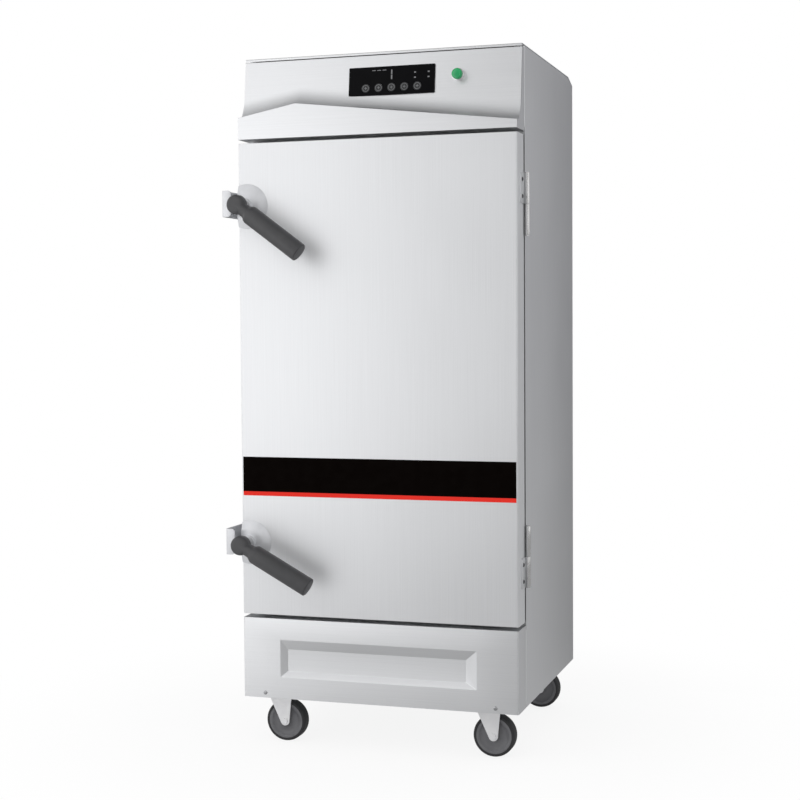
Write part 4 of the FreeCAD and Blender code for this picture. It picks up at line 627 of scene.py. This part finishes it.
for bound, outside, move in RECESS_SHIFTS:
    outside = Vector(outside)
    pick("VERT", lambda co: near(co.y, floor_y) and (co - recess_middle).dot(outside) > bound)
    bpy.ops.transform.translate(value=outside * move)
remove_faces(lambda m, n: n.z < -0.9)
# A fold stays round the back, but not along the foot, where the castors' forks swivel.
pick("FACE", lambda m, n: n.y > 0.9)
bpy.ops.mesh.inset(thickness=SEAM_FOLD, depth=0)
bpy.ops.mesh.delete(type="FACE")
remove_faces(lambda m, n: n.y > 0.9 and m.z < foot_z + 0.9 * SEAM_FOLD)


def on_recess_edge(m, way):
    """True for the recess's outer edges, its mitres and the edges of its floor."""
    play = 0.01 * MM
    low, high = spot(RECESS_LEFT, 0, RECESS_BOTTOM), spot(RECESS_RIGHT, 0, RECESS_TOP)
    inside_x = low.x - play < m.x < high.x + play
    inside_z = low.z - play < m.z < high.z + play
    return inside_x and inside_z and m.y < floor_y + play


round_edges(RECESS_ROUNDING, 3, on_recess_edge)
round_edges(TOP_ROUNDING, 3, lambda m, way: abs(way.x) > 0.9 and near(m.z, top_z) and near(m.y, ahead))
modify(plinth, "SOLIDIFY", thickness=PANEL_GAUGE, offset=-1)
fit(plinth, level_steel, "brushed_stainless", "cabinet", "plinth_panel", angle=30)

# Machine screws: a domed head with a cross recess, all of one size. Two of clear zinc hold the
# plinth to the base pan, which is brushed like the rest, and eight black ones hold the hinges.
PLINTH_SCREW_X = 285
PLINTH_SCREW_LEVEL = 129
SCREW_OUTLINE = ((-2.5, 0), (-2.5, 2.5), (0, 2.5), (0, 5), (1, 4.7, 0.8), (2, 2.6, 1.5), (2, 0))
SCREW_TOP = 0.002
CROSS_LENGTH = 0.0044
CROSS_WIDTH = 0.0007
CROSS_HEIGHT = 0.0014
# Zinc plate is a slightly blotchy metal, nearly black where it was passivated so.
zinc_black = grained(
    "steel_zinc_black", "#4c4d50", "#424346",
    grain=0.0006, rough=0.35, spread=0.08, height=0.00001, Metallic=1.0,
)
# Without colour in the passivation it is a dull silver.
zinc_clear = grained(
    "steel_zinc_clear", "#babbbd", "#aeafb1",
    grain=0.0006, rough=0.35, spread=0.08, height=0.00001, Metallic=1.0,
)


def domed_screw(name, seat, way):
    """A domed head with a cross cut into it, its seat at a point and its top along a direction."""
    head = turned(name, seat, way, SCREW_OUTLINE)
    leave()
    along = Vector(way)
    top = seat + along * SCREW_TOP
    arms = []
    for axis in range(3):
        if abs(along[axis]) > 0.5:
            continue
        size = Vector([CROSS_HEIGHT if abs(c) > 0.5 else CROSS_WIDTH for c in along])
        size[axis] = CROSS_LENGTH
        arms.append(block(f"{name}_arm_{axis}", top - size / 2, top + size / 2))
        leave()
    for arm in arms:
        modify(head, "BOOLEAN", operation="DIFFERENCE", object=arm, solver="EXACT")
        bpy.data.objects.remove(arm)
    return head


left_screw = domed_screw(
    "plinth_screw_left", spot(-PLINTH_SCREW_X, 0, PLINTH_SCREW_LEVEL), (0, -1, 0)
)
right_screw = copy_of(left_screw, "plinth_screw_right", (PLINTH_SCREW_X * 2 / 1000, 0, 0))
for screw in (left_screw, right_screw):
    fit(screw, zinc_clear, "zinc", "cabinet", "plinth_screws")
dress(level_steel, "brushed_stainless", "base_pan")

# Castors: a zinc-plated plate bolted under the base carries a ball race; the pressed fork hangs
# from the race, and a through bolt with a nut carries the wheel. All four are alike.
CASTORS = (
    ("front_left", -261, 70),
    ("front_right", 261, 70),
    ("rear_left", -261, 566),
    ("rear_right", 261, 566),
)
TRAIL = 6
AXLE_Z = 50
PLATE_HALVES = (47.5, 34)
PLATE_LEVELS = (139, 142)
PLATE_CORNER = 0.008
PLATE_EDGE = 0.0006
RACE_OUTLINE = ((140, 0), (140, 24), (136, 24, 2), (127, 20, 3), (127, 9), (116, 9, 1), (116, 0))
BOLT_PLACES = ((-36, -24), (-36, 24), (36, -24), (36, 24))
BOLT_OUTLINE = ((135, 0), (135, 6), (139.5, 6))
FORK_SPAN = (-39, 24)
FORK_INSIDE = 18.5
FORK_OUTSIDE = 21.5
LEG_TOP = (121.2, 121.7)
CROWN_LEVELS = (121.7, 126.7)
CROWN_BEND = 0.003
CROWN_EDGE = 0.0015
BOSS_RADIUS = 11
AXLE_HEAD_OUTLINE = ((-25.5, 0), (-25.5, 7.5), (-21.5, 7.5), (-21.5, 5), (0, 5))
AXLE_NUT_OUTLINE = ((0, 5), (21.5, 5), (21.5, 7.5), (25.5, 7.5), (25.5, 0))
CORE_OUTLINE = (
    (-18.2, 5.1), (-18.2, 12, 1), (-11, 14, 3), (-9, 30, 6), (-15.4, 37, 2), (-15.4, 43.4), (15.4, 43.4),
    (15.4, 37, 2), (9, 30, 6), (11, 14, 3), (18.2, 12, 1), (18.2, 5.1), (-18.2, 5.1),
)
TREAD_OUTLINE = ((0, 42.6), (16, 42.6, 0.8), (16, 50, 5.5), (-16, 50, 5.5), (-16, 42.6, 0.8), (0, 42.6))
# Zinc plate on pressed steel is pale and bright, in faint patches a few mm wide.
zinc_plate = grained(
    "steel_zinc_plated", "#f4f4f5", "#ededef",
    grain=0.006, rough=0.33, spread=0.05, height=0.00002, Metallic=0.45,
)
# Moulded rubber is near black and dull, its skin pitted by the mould and by dust.
tyre_rubber = grained(
    "rubber_moulded_black", "#2c2c2e", "#262628",
    grain=0.0012, rough=0.62, spread=0.1, height=0.00006,
)
# Nylon moulded in a plain steel tool is an even grey with a soft shine.
core_nylon = grained(
    "nylon_moulded_grey", "#6b6b6e", "#636366",
    grain=0.001, rough=0.5, spread=0.07, height=0.00003,
)


def castor_parts(x, y):
    """The pieces of one castor: its plate with the race, its fork with the bolt, its core and tread."""
    pivot = spot(x, y, 0)
    axle = spot(x + TRAIL, y, AXLE_Z)
    long, wide = PLATE_HALVES
    plate = block(
        "castor_plate",
        spot(x - long, y - wide, PLATE_LEVELS[0]),
        spot(x + long, y + wide, PLATE_LEVELS[1]),
    )
    round_edges(PLATE_CORNER, 4, lambda m, way: abs(way.z) > 0.9)
    round_edges(PLATE_EDGE, 2, lambda m, way: abs(way.z) < 0.1)
    pieces = [plate, turned("castor_race", pivot, (0, 0, 1), RACE_OUTLINE)]
    for across, behind in BOLT_PLACES:
        foot = spot(x + across, y + behind, 0)
        pieces.append(turned("castor_bolt", foot, (0, 0, 1), BOLT_OUTLINE, steps=6))
    plate = weld("castor_plate", pieces)
    back, front = FORK_SPAN
    legs = []
    # A leg is stretched between a strip under the crown and a round boss at the axle.
    for side in (-1, 1):
        near_y, far_y = sorted((FORK_INSIDE * side, FORK_OUTSIDE * side))
        strip = block(
            "castor_leg",
            spot(x + back, y + near_y, LEG_TOP[0]),
            spot(x + front, y + far_y, LEG_TOP[1]),
        )
        outline = ((near_y, 0), (near_y, BOSS_RADIUS), (far_y, BOSS_RADIUS), (far_y, 0))
        boss = turned("castor_boss", axle, (0, 1, 0), outline)
        legs.append(weld("castor_leg", [strip, boss]))
        bpy.ops.object.mode_set(mode="EDIT")
        bpy.ops.mesh.select_all(action="SELECT")
        bpy.ops.mesh.convex_hull()
        leave()
    crown = block(
        "castor_crown",
        spot(x + back, y - FORK_OUTSIDE, CROWN_LEVELS[0]),
        spot(x + front, y + FORK_OUTSIDE, CROWN_LEVELS[1]),
    )
    crown_top = CROWN_LEVELS[1] / 1000
    round_edges(CROWN_BEND, 4, lambda m, way: near(m.z, crown_top) and abs(way.x) > 0.9)
    round_edges(
        CROWN_EDGE, 3,
        lambda m, way: abs(way.z) > 0.9 or (near(m.z, crown_top) and abs(way.y) > 0.9),
    )
    head = turned("castor_bolt_head", axle, (0, 1, 0), AXLE_HEAD_OUTLINE, steps=6)
    nut = turned("castor_nut", axle, (0, 1, 0), AXLE_NUT_OUTLINE, steps=6)
    fork = weld("castor_fork", legs + [crown, head, nut])
    core = turned("castor_core", axle, (0, 1, 0), CORE_OUTLINE, steps=64)
    tread = turned("castor_tread", axle, (0, 1, 0), TREAD_OUTLINE, steps=72)
    return plate, fork, core, tread


CASTOR_PIECES = (
    ("plate", zinc_plate, "zinc"),
    ("fork_pressing", zinc_plate, "zinc"),
    ("wheel_core", core_nylon, "black_nylon"),
    ("wheel_tread", tyre_rubber, "wheel_tread"),
)
first_place = CASTORS[0][1:]
first = castor_parts(*first_place)
leave()
castors = []
for name, x, y in CASTORS:
    move = spot(x, y, 0) - spot(*first_place, 0)
    for (part, finish, kind), made in zip(CASTOR_PIECES, first):
        castors.append((name, part, copy_of(made, f"{name}_{part}", move), finish, kind))
for piece in first:
    bpy.data.objects.remove(piece)
for name, part, piece, finish, kind in castors:
    body = {"plate": "cabinet", "fork_pressing": name + "_fork"}.get(part, name + "_wheel")
    node = "castor_plates" if part == "plate" else body
    fit(piece, finish, kind, body, node)

# Chamber liner, tank and heating tubes: stainless sheets bent, welded and pickled, duller than the
# outside. Foam fills the walls round them, and a shelf over it carries the switchgear.
# Pickling leaves an even dull grey with soft clouds and no lines.
inner_steel = grained(
    "stainless_pickled", "#d6d7d7", "#cdcece",
    grain=0.0015, rough=0.33, spread=0.06, height=0.00002, Metallic=1.0,
)
# Polished tube and rod mirror the room, broken a little by drawing marks.
bright_steel = grained(
    "stainless_polished", "#e0e0e0", "#d7d7d7",
    grain=0.001, rough=0.18, spread=0.05, height=0.00001, Metallic=1.0,
)
# Foam that rose in place shows open cells of about two millimetres and blotches of cream.
wall_foam = grained(
    "polyurethane_foam_cream", "#e2d9b4", "#d4caa2",
    grain=0.0022, rough=0.9, spread=0.06, height=0.0007,
)
dress(inner_steel, "inner_stainless", "chamber_liner", "water_tank", "head_shelf")
dress(wall_foam, "foam", "wall_insulation")
dress(bright_steel, "bright_stainless", "heating_elements")

# Tray racks and trays: the racks are angles spot-welded to two posts on each side; the trays are
# pressed stainless pans, hung by their rims, and slide out to the front.
dress(inner_steel, "inner_stainless", "left_tray_rack", "right_tray_rack")
dress(inner_steel, "inner_stainless", "tray_1", "tray_2", "tray_3", "tray_4")

# Water fittings: the float valve and the drain valve are turned from plain brass, the float is a
# blown ball, and the drain's lever is bent from zinc-plated strip.
# Turned brass is warm and bright, with marks of the tool under a first tarnish.
brass = grained(
    "brass_turned", "#dfc47f", "#cfb06a",
    grain=0.0009, rough=0.25, spread=0.07, height=0.00002, Metallic=1.0,
)
# Blown polypropylene is milky white with a waxy shine.
float_shell = grained(
    "polypropylene_white", "#e6e6e1", "#dededa",
    grain=0.002, rough=0.4, spread=0.06, height=0.00004,
)
dress(brass, "brass_fitting", "float_valve", "drain_valve")
dress(float_shell, "float_ball", "float_arm")
dress(zinc_plate, "zinc", "drain_lever")

# Vent, cable gland and switchgear: the vent is a stainless tube, the gland is black nylon, the
# contactor grey plastic and the board green laminate.
# Black nylon has a satin skin with the mould's fine grain.
gland_nylon = grained(
    "nylon_black", "#232325", "#1d1d1f",
    grain=0.0006, rough=0.4, spread=0.07, height=0.00002,
)
# Phenolic moulding is a flat grey, faintly mottled by its filler.
contactor_plastic = grained(
    "phenolic_grey", "#a2a4a2", "#929492",
    grain=0.001, rough=0.5, spread=0.07, height=0.00002,
)
# Green lacquer on glass-fibre board has a satin gloss over a weave with threads 0.5 mm apart.
laminate = grained(
    "glass_epoxy_green", "#30623c", "#285234",
    grain=0.0005, rough=0.45, spread=0.08, height=0.00002,
)
dress(bright_steel, "bright_stainless", "steam_vent")
dress(gland_nylon, "black_nylon", "cable_gland")
dress(contactor_plastic, "contactor_grey", "power_contactor")
dress(laminate, "circuit_board", "control_board")

# Door: a brushed stainless sheet folded back on four sides over foam, its upright front edges
# rounded. The liner closes its back, with a raised middle inside the rubber gasket.
DOOR_FOOT = 319
DOOR_TOP = 1444
DOOR_DEPTH = 64
DOOR_ROUNDING = 0.0012
BAND_RED_TOP = 0.615
door = block("door_front_sheet", spot(-HALF_WIDTH, 0, DOOR_FOOT), spot(HALF_WIDTH, DOOR_DEPTH, DOOR_TOP))
remove_faces(lambda m, n: n.y > 0.9)
round_edges(EDGE_RADIUS, 6, lambda m, way: abs(way.z) > 0.9 and near(m.y, ahead))
round_edges(DOOR_ROUNDING, 3, lambda m, way: abs(way.z) < 0.1 and m.y < ahead + EDGE_RADIUS + 0.1 * MM)
modify(door, "SOLIDIFY", thickness=PANEL_GAUGE, offset=-1)
# The door's sheet is duller than the sides and turns more of its light into a white sheen.
door_steel = brushed_steel(
    "stainless_brushed_fine", BRUSHED_PALE, BRUSHED_DARK, rough=0.47, grain=UPRIGHT_GRAIN, metal=0.8
)
fit(door, door_steel, "brushed_stainless", "door", "door_skin", angle=30)
# Extruded silicone is a dull dark grey, with fine marks where the die dragged.
seal_rubber = grained(
    "silicone_dark_grey", "#545457", "#4c4c4f",
    grain=0.001, rough=0.55, spread=0.08, height=0.00003,
)
dress(inner_steel, "inner_stainless", "door_liner")
dress(wall_foam, "foam", "door_insulation")
dress(seal_rubber, "seal_rubber", "door_gasket")
# Printed vinyl lies flat and dull, with a skin like very fine orange peel.
band_film = grained(
    "vinyl_film_red_and_black", "#090605", "#070403",
    grain=0.0015, rough=0.5, spread=0.05, height=0.00001, Specular_IOR_Level=0.01,
)
# Its lowest strip is a flat signal red.
tree = band_film.node_tree
skin_colour = tree.nodes["Principled BSDF"].inputs["Base Color"]
black = skin_colour.links[0].from_socket
place = add(tree, "ShaderNodeTexCoord").outputs["Object"]
level = add(tree, "ShaderNodeSeparateXYZ", Vector=place).outputs["Z"]
above = add(tree, "ShaderNodeMath", {"operation": "GREATER_THAN"}, _0=level, _1=BAND_RED_TOP).outputs[0]
both = add(
    tree, "ShaderNodeMix", {"data_type": "RGBA"}, _0=above, _6=linear("#e0352c"), _7=black
).outputs[2]
tree.links.new(both, skin_colour)
dress(band_film, "black_band", "door_band")

# Hinges: two pairs of bright stainless leaves with rolled knuckles on a pin with a head at each
# end, held by two screws a leaf to the door's edge and to the side panel.
HINGE_X = 347
HINGE_Y = 70
LEAF_GAUGE = 2.5
LEAF_REACH = 42
LEAF_CORNER = 0.007
LEAF_EDGE = 0.0005
KNUCKLE_RADIUS = 6
PIN_BORE = 3.1
HINGE_SCREW = 27
HINGE_SPANS = (
    ("upper_door_leaf", -1, 1286.2, 1357, "door", "door_hinge_leaves"),
    ("upper_cabinet_leaf", 1, 1215, 1285.8, "cabinet", "cabinet_hinge_leaves"),
    ("lower_door_leaf", -1, 402, 472.8, "door", "door_hinge_leaves"),
    ("lower_cabinet_leaf", 1, 473.2, 544, "cabinet", "cabinet_hinge_leaves"),
)
for name, way, low_z, high_z, body, node in HINGE_SPANS:
    near_y, far_y = sorted((HINGE_Y, HINGE_Y + LEAF_REACH * way))
    leaf_face = spot(HALF_WIDTH + LEAF_GAUGE, far_y, high_z)
    plate = block(name + "_plate", spot(HALF_WIDTH, near_y, low_z), leaf_face)
    edge_y = spot(0, HINGE_Y + LEAF_REACH * way, 0).y
    round_edges(LEAF_CORNER, 5, lambda m, line: abs(line.x) > 0.9 and near(m.y, edge_y))
    round_edges(LEAF_EDGE, 2, lambda m, line: near(m.x, leaf_face.x))
    leave()
    plate.data.materials.append(upright_steel)
    outline = (
        (low_z, PIN_BORE), (low_z, KNUCKLE_RADIUS, 0.4), (high_z, KNUCKLE_RADIUS, 0.4),
        (high_z, PIN_BORE), (low_z, PIN_BORE),
    )
    knuckle = turned(name + "_knuckle", spot(HINGE_X, HINGE_Y, 0), (0, 0, 1), outline, steps=40)
    knuckle.data.materials.append(bright_steel)
    fit(weld(name, [plate, knuckle]), bright_steel, "bright_stainless", body, node)
dress(bright_steel, "bright_stainless", "hinge_pins")
first_screw = domed_screw("hinge_screw", spot(HALF_WIDTH + LEAF_GAUGE, 0, 0), (1, 0, 0))
HINGE_SCREWS = (
    ("door", -1, "door_hinge_screws", (1302.2, 1341, 418, 456.8)),
    ("cabinet", 1, "cabinet_hinge_screws", (1230.8, 1269.8, 489.2, 528)),
)
hinge_screws = []
for body, way, node, levels in HINGE_SCREWS:
    for i, level in enumerate(levels, start=1):
        move = spot(0, HINGE_Y + HINGE_SCREW * way, level) - spot(0, 0, 0)
        hinge_screws.append((copy_of(first_screw, f"{body}_hinge_screw_{i}", move), body, node))
for piece, body, node in hinge_screws:
    fit(piece, zinc_black, "zinc", body, node)
bpy.data.objects.remove(first_screw)

# Latches: a domed satin rosette on the door, cut off flush at the door's edge, carries a spindle
# with a tongue; on the spindle is a black moulded lever that slopes down to the right.
LATCHES = (("upper", 1295, 36.7), ("lower", 492, 28.7))
LATCH_X = -319
GRIP_AXIS = 60
ROSETTE_OUTLINE = (
    (0, 9.1), (0, 53), (0.6, 53, 0.3), (5.6, 42, 8), (8.9, 31, 7),
    (10, 17, 2.5), (19, 17, 1), (19, 9.1), (0, 9.1),
)
HEAD_OUTLINE = ((44, 9), (44, 23, 9), (74, 23, 9), (74, 0))
GRIP_OUTLINE = ((0, 0), (0, 14), (31, 16, 3), (40, 22.5, 4), (194, 22.5, 3), (194, 0))
# Phenolic moulding, tumbled after it is pressed, is a black satin with a fine even grain.
black_satin = grained(
    "phenolic_black_satin", "#3e3e40", "#3a3a3c",
    grain=0.0011, rough=0.45, spread=0.06, height=0.00003,
)
dress(bright_steel, "bright_stainless", "upper_latch_spindle", "lower_latch_spindle")
# Satin stainless, blasted and not polished, spreads each reflection into a soft patch.
satin_steel = grained(
    "stainless_satin", "#d9dadd", "#d2d3d6",
    grain=0.0008, rough=0.46, spread=0.06, height=0.00001, Metallic=0.6,
)
for name, level, angle in LATCHES:
    centre = spot(LATCH_X, 0, level)
    rosette = turned(f"{name}_rosette", centre, (0, -1, 0), ROSETTE_OUTLINE, steps=72)
    cut(spot(-HALF_WIDTH, 0, 0), (-1, 0, 0), clear=True)
    fit(rosette, satin_steel, "bright_stainless", "door", "latch_rosettes")
    head = turned(f"{name}_lever_head", centre, (0, -1, 0), HEAD_OUTLINE, steps=64)
    slope = math.radians(angle)
    down = Vector((math.cos(slope), 0, -math.sin(slope)))
    grip_root = spot(LATCH_X, -GRIP_AXIS, level)
    grip = turned(f"{name}_lever_grip", grip_root, down, GRIP_OUTLINE, steps=64)
    lever = weld(f"{name}_lever_moulding", [head, grip])
    fit(lever, black_satin, "black_grip", f"{name}_latch", f"{name}_latch_grip")

# Latch keepers: bent from 3 mm stainless strip and fixed to the left side panel. Each reaches
# forward past the door's edge and turns in before the tongue.
KEEPER_HALF = 0.031
KEEPER_RISE = 5
KEEPER_BEND = 0.005
KEEPER_GAUGE = 0.003
KEEPER_CORNER = 0.008
KEEPER_EDGE = 0.0004
# Its run from the foot on the panel, out past the rosette, forward and in again.
FOOT_X, OUTER_X, TIP_X = -343, -367, -344
FOOT_END, STEP_Y, FRONT_Y = 128, 95, -38
for name, level, _ in LATCHES:
    middle = level + KEEPER_RISE
    foot = Vector((0, 0, KEEPER_HALF))
    path = [
        (spot(FOOT_X, FOOT_END, middle) - foot, 0),
        (spot(FOOT_X, STEP_Y, middle) - foot, KEEPER_BEND),
        (spot(OUTER_X, STEP_Y, middle) - foot, KEEPER_BEND),
        (spot(OUTER_X, FRONT_Y, middle) - foot, KEEPER_BEND),
        (spot(TIP_X, FRONT_Y, middle) - foot, 0),
    ]
    keeper = wire(f"{name}_keeper", path)
    sweep(foot * 2)
    ends = [path[0][0] + foot, path[-1][0] + foot]
    pick("VERT", lambda co: any(abs((co - end).length - KEEPER_HALF) < 1e-4 for end in ends))
    bpy.ops.mesh.bevel(offset=KEEPER_CORNER, segments=5, affect="VERTICES")
    bpy.ops.mesh.select_all(action="SELECT")
    bpy.ops.mesh.normals_make_consistent(inside=False)
    modify(keeper, "SOLIDIFY", thickness=KEEPER_GAUGE, offset=-1)
    modify(keeper, "BEVEL", width=KEEPER_EDGE, segments=2, limit_method="ANGLE")
    fit(keeper, satin_steel, "bright_stainless", "cabinet", "latch_keepers")

# Floor: a plain white sweep that keeps a soft shadow and goes over into white with distance. To glossy
# rays it shows a painted glow instead, which steel mirrors grey behind the object, as painted shade close
# by, and bright further out in front.
FLOOR_WIDE = 28
# Each soft step runs from one place to another, in metres, and between two levels. The first is how white
# the camera sees the paper with distance; the others shape the painted glow that steel mirrors of it.
WHITE_STEP = (0.45, 1.3, 0.87, 1.0)
NEAR_STEP = (0.4, 1.0, 0.25, 1.0)
FRONT_STEP = (-0.5, 0.0, 1.0, 0.0)
ACROSS_STEP = (-1.3, 0.5, 0.62, 0.0)
BACK_STEP = (0.2, 1.0, 0.41, 0.25)
leave()
bpy.ops.mesh.primitive_plane_add(size=FLOOR_WIDE, location=(0, 0, 0))
floor = settle("studio_floor")
leave()
# Matt paper has no shine of its own and takes the soft shadow evenly.
paper, tree, shader = new_finish("paper_white_matt", Base_Color=linear("#f4f4f4"), Roughness=0.9)
output = next(node for node in tree.nodes if node.type == "OUTPUT_MATERIAL")


def blend_between(tree, value, start, end, first, last):
    """A soft step from one level to another as a value passes from start to end."""
    made = add(
        tree, "ShaderNodeMapRange", {"interpolation_type": "SMOOTHSTEP"},
        Value=value, From_Min=start, From_Max=end, To_Min=first, To_Max=last,
    )
    return made.outputs["Result"]


place = add(tree, "ShaderNodeTexCoord").outputs["Object"]
distance = add(tree, "ShaderNodeVectorMath", {"operation": "LENGTH"}, _0=place).outputs["Value"]
depth = add(tree, "ShaderNodeSeparateXYZ", Vector=place).outputs["Y"]
path = add(tree, "ShaderNodeLightPath")
white_part = add(
    tree, "ShaderNodeMath", {"operation": "MULTIPLY"},
    _0=path.outputs["Is Camera Ray"], _1=blend_between(tree, distance, *WHITE_STEP),
).outputs[0]
white = add(tree, "ShaderNodeEmission", Color=(1, 1, 1, 1), Strength=1.0).outputs["Emission"]
seen = add(tree, "ShaderNodeMixShader", Fac=white_part, _1=shader.outputs["BSDF"], _2=white)
# Painted glow for glossy rays: painted shade close to the object and behind it, brighter out in front and
# most to the left.
in_front = add(
    tree, "ShaderNodeMath", {"operation": "MULTIPLY"},
    _0=blend_between(tree, distance, *NEAR_STEP), _1=blend_between(tree, depth, *FRONT_STEP),
).outputs[0]
across = add(tree, "ShaderNodeSeparateXYZ", Vector=place).outputs["X"]
glow = add(
    tree, "ShaderNodeMath", {"operation": "MULTIPLY_ADD"},
    _0=in_front, _1=blend_between(tree, across, *ACROSS_STEP), _2=blend_between(tree, depth, *BACK_STEP),
).outputs[0]
mirrored = add(tree, "ShaderNodeEmission", Color=(1, 1, 1, 1), Strength=glow).outputs["Emission"]
mixed = add(
    tree, "ShaderNodeMixShader", Fac=path.outputs["Is Glossy Ray"], _1=seen.outputs["Shader"], _2=mirrored
)
tree.links.new(mixed.outputs["Shader"], output.inputs["Surface"])
floor.data.materials.append(paper)

# Light: a white studio all round. Steel mirrors it bright far to the left and in two bands on the
# right, grey ahead, dark behind and overhead. A broad lamp above gives the soft shadow.
# The levels run from left to right at eye height, and from the horizon up to the ceiling.
LEVEL_STOPS = (
    (0.0, 1.35), (0.1, 1.15), (0.2, 0.75), (0.27, 0.54), (0.42, 0.36), (0.56, 0.42),
    (0.62, 1.5), (0.71, 1.5), (0.75, 0.12), (0.88, 0.12), (0.94, 1.1), (1.0, 1.1),
)
HEIGHT_STOPS = (
    (0.0, 0.5), (0.5, 0.58), (0.72, 0.7), (0.82, 0.66), (0.9, 0.24), (0.96, 0.08), (1.0, 0.06),
)
RAISED_STEP = (0.4, 0.65, 0.0, 1.0)
BEHIND_STEP = (0.3, 0.65, 0.0, 1.0)
BEHIND_GREY = (0.21, 0.21, 0.22, 1)
SOFT_LIGHT = 0.8
studio = bpy.data.worlds.new("studio")
bpy.context.scene.world = studio
studio.use_nodes = True
tree = studio.node_tree
tree.nodes.clear()
way = add(tree, "ShaderNodeTexCoord").outputs["Generated"]
parts = add(tree, "ShaderNodeSeparateXYZ", Vector=way)
shifted = add(tree, "ShaderNodeMath", {"operation": "MULTIPLY_ADD"}, _0=parts.outputs["X"], _1=0.5, _2=0.5)
level_light = ramp(tree, shifted.outputs[0], *LEVEL_STOPS)
high_light = ramp(tree, parts.outputs["Z"], *HEIGHT_STOPS)
raised = blend_between(tree, parts.outputs["Z"], *RAISED_STEP)
ahead_light = add(tree, "ShaderNodeMix", {"data_type": "RGBA"}, _0=raised, _6=level_light, _7=high_light)
behind = blend_between(tree, parts.outputs["Y"], *BEHIND_STEP)
both = add(
    tree, "ShaderNodeMix", {"data_type": "RGBA"}, _0=behind, _6=ahead_light.outputs[2], _7=BEHIND_GREY
)
path = add(tree, "ShaderNodeLightPath")
mirrored = add(tree, "ShaderNodeBackground", Color=both.outputs[2], Strength=1.0).outputs[0]
soft = add(tree, "ShaderNodeBackground", Color=(1, 1, 1, 1), Strength=SOFT_LIGHT).outputs[0]
plain = add(tree, "ShaderNodeBackground", Color=(1, 1, 1, 1), Strength=1.0).outputs[0]
inner_mix = add(tree, "ShaderNodeMixShader", Fac=path.outputs["Is Glossy Ray"], _1=soft, _2=mirrored)
outer_mix = add(
    tree, "ShaderNodeMixShader", Fac=path.outputs["Is Camera Ray"], _1=inner_mix.outputs[0], _2=plain
)
add(tree, "ShaderNodeOutputWorld", Surface=outer_mix.outputs[0])


def lamp(name, where, towards, wide, high, glow):
    """A rectangular soft lamp that faces a point, its brightness given as steel would mirror it."""
    data = bpy.data.lights.new(name, "AREA")
    data.shape = "RECTANGLE"
    data.size = wide
    data.size_y = high
    data.energy = glow * math.pi * wide * high
    made = bpy.data.objects.new(name, data)
    bpy.context.scene.collection.objects.link(made)
    made.location = where
    made.rotation_euler = (Vector(towards) - Vector(where)).to_track_quat("-Z", "Y").to_euler()
    made.visible_camera = False
    return made


overhead = lamp("overhead_softbox", (-1.2, -2.4, 3.8), (0, 0, 0.6), wide=4.0, high=4.0, glow=0.6)
overhead.visible_glossy = False
lamp("left_softbox", (-1.55, -2.6, 1.8), (-1.55, 0, 1.8), wide=1.8, high=4.6, glow=0.85)
lamp("rear_right_softbox", (1.25, 0.55, 1.0), (1.25, 0, 1.0), wide=1.3, high=3.0, glow=0.2)

# Camera: at the photograph's own place, a little above the middle of the object and to its right,
# as found from the photograph's straight edges.
CAMERA_PLACE = (1156.4, -3445.1, 1009.7)
LENS = 70.215
TURN, TILT, ROLL = 17.654, 2.734, -0.399
camera_data = bpy.data.cameras.new("photograph")
camera_data.sensor_width = 36
camera_data.lens = LENS
camera = bpy.data.objects.new("photograph", camera_data)
bpy.context.scene.collection.objects.link(camera)
camera.matrix_world = (
    Matrix.Translation(spot(*CAMERA_PLACE))
    @ Matrix.Rotation(math.radians(TURN), 4, "Z")
    @ Matrix.Rotation(math.radians(90 - TILT), 4, "X")
    @ Matrix.Rotation(math.radians(ROLL), 4, "Z")
)
bpy.context.scene.camera = camera
bpy.context.scene.view_settings.view_transform = "Standard"
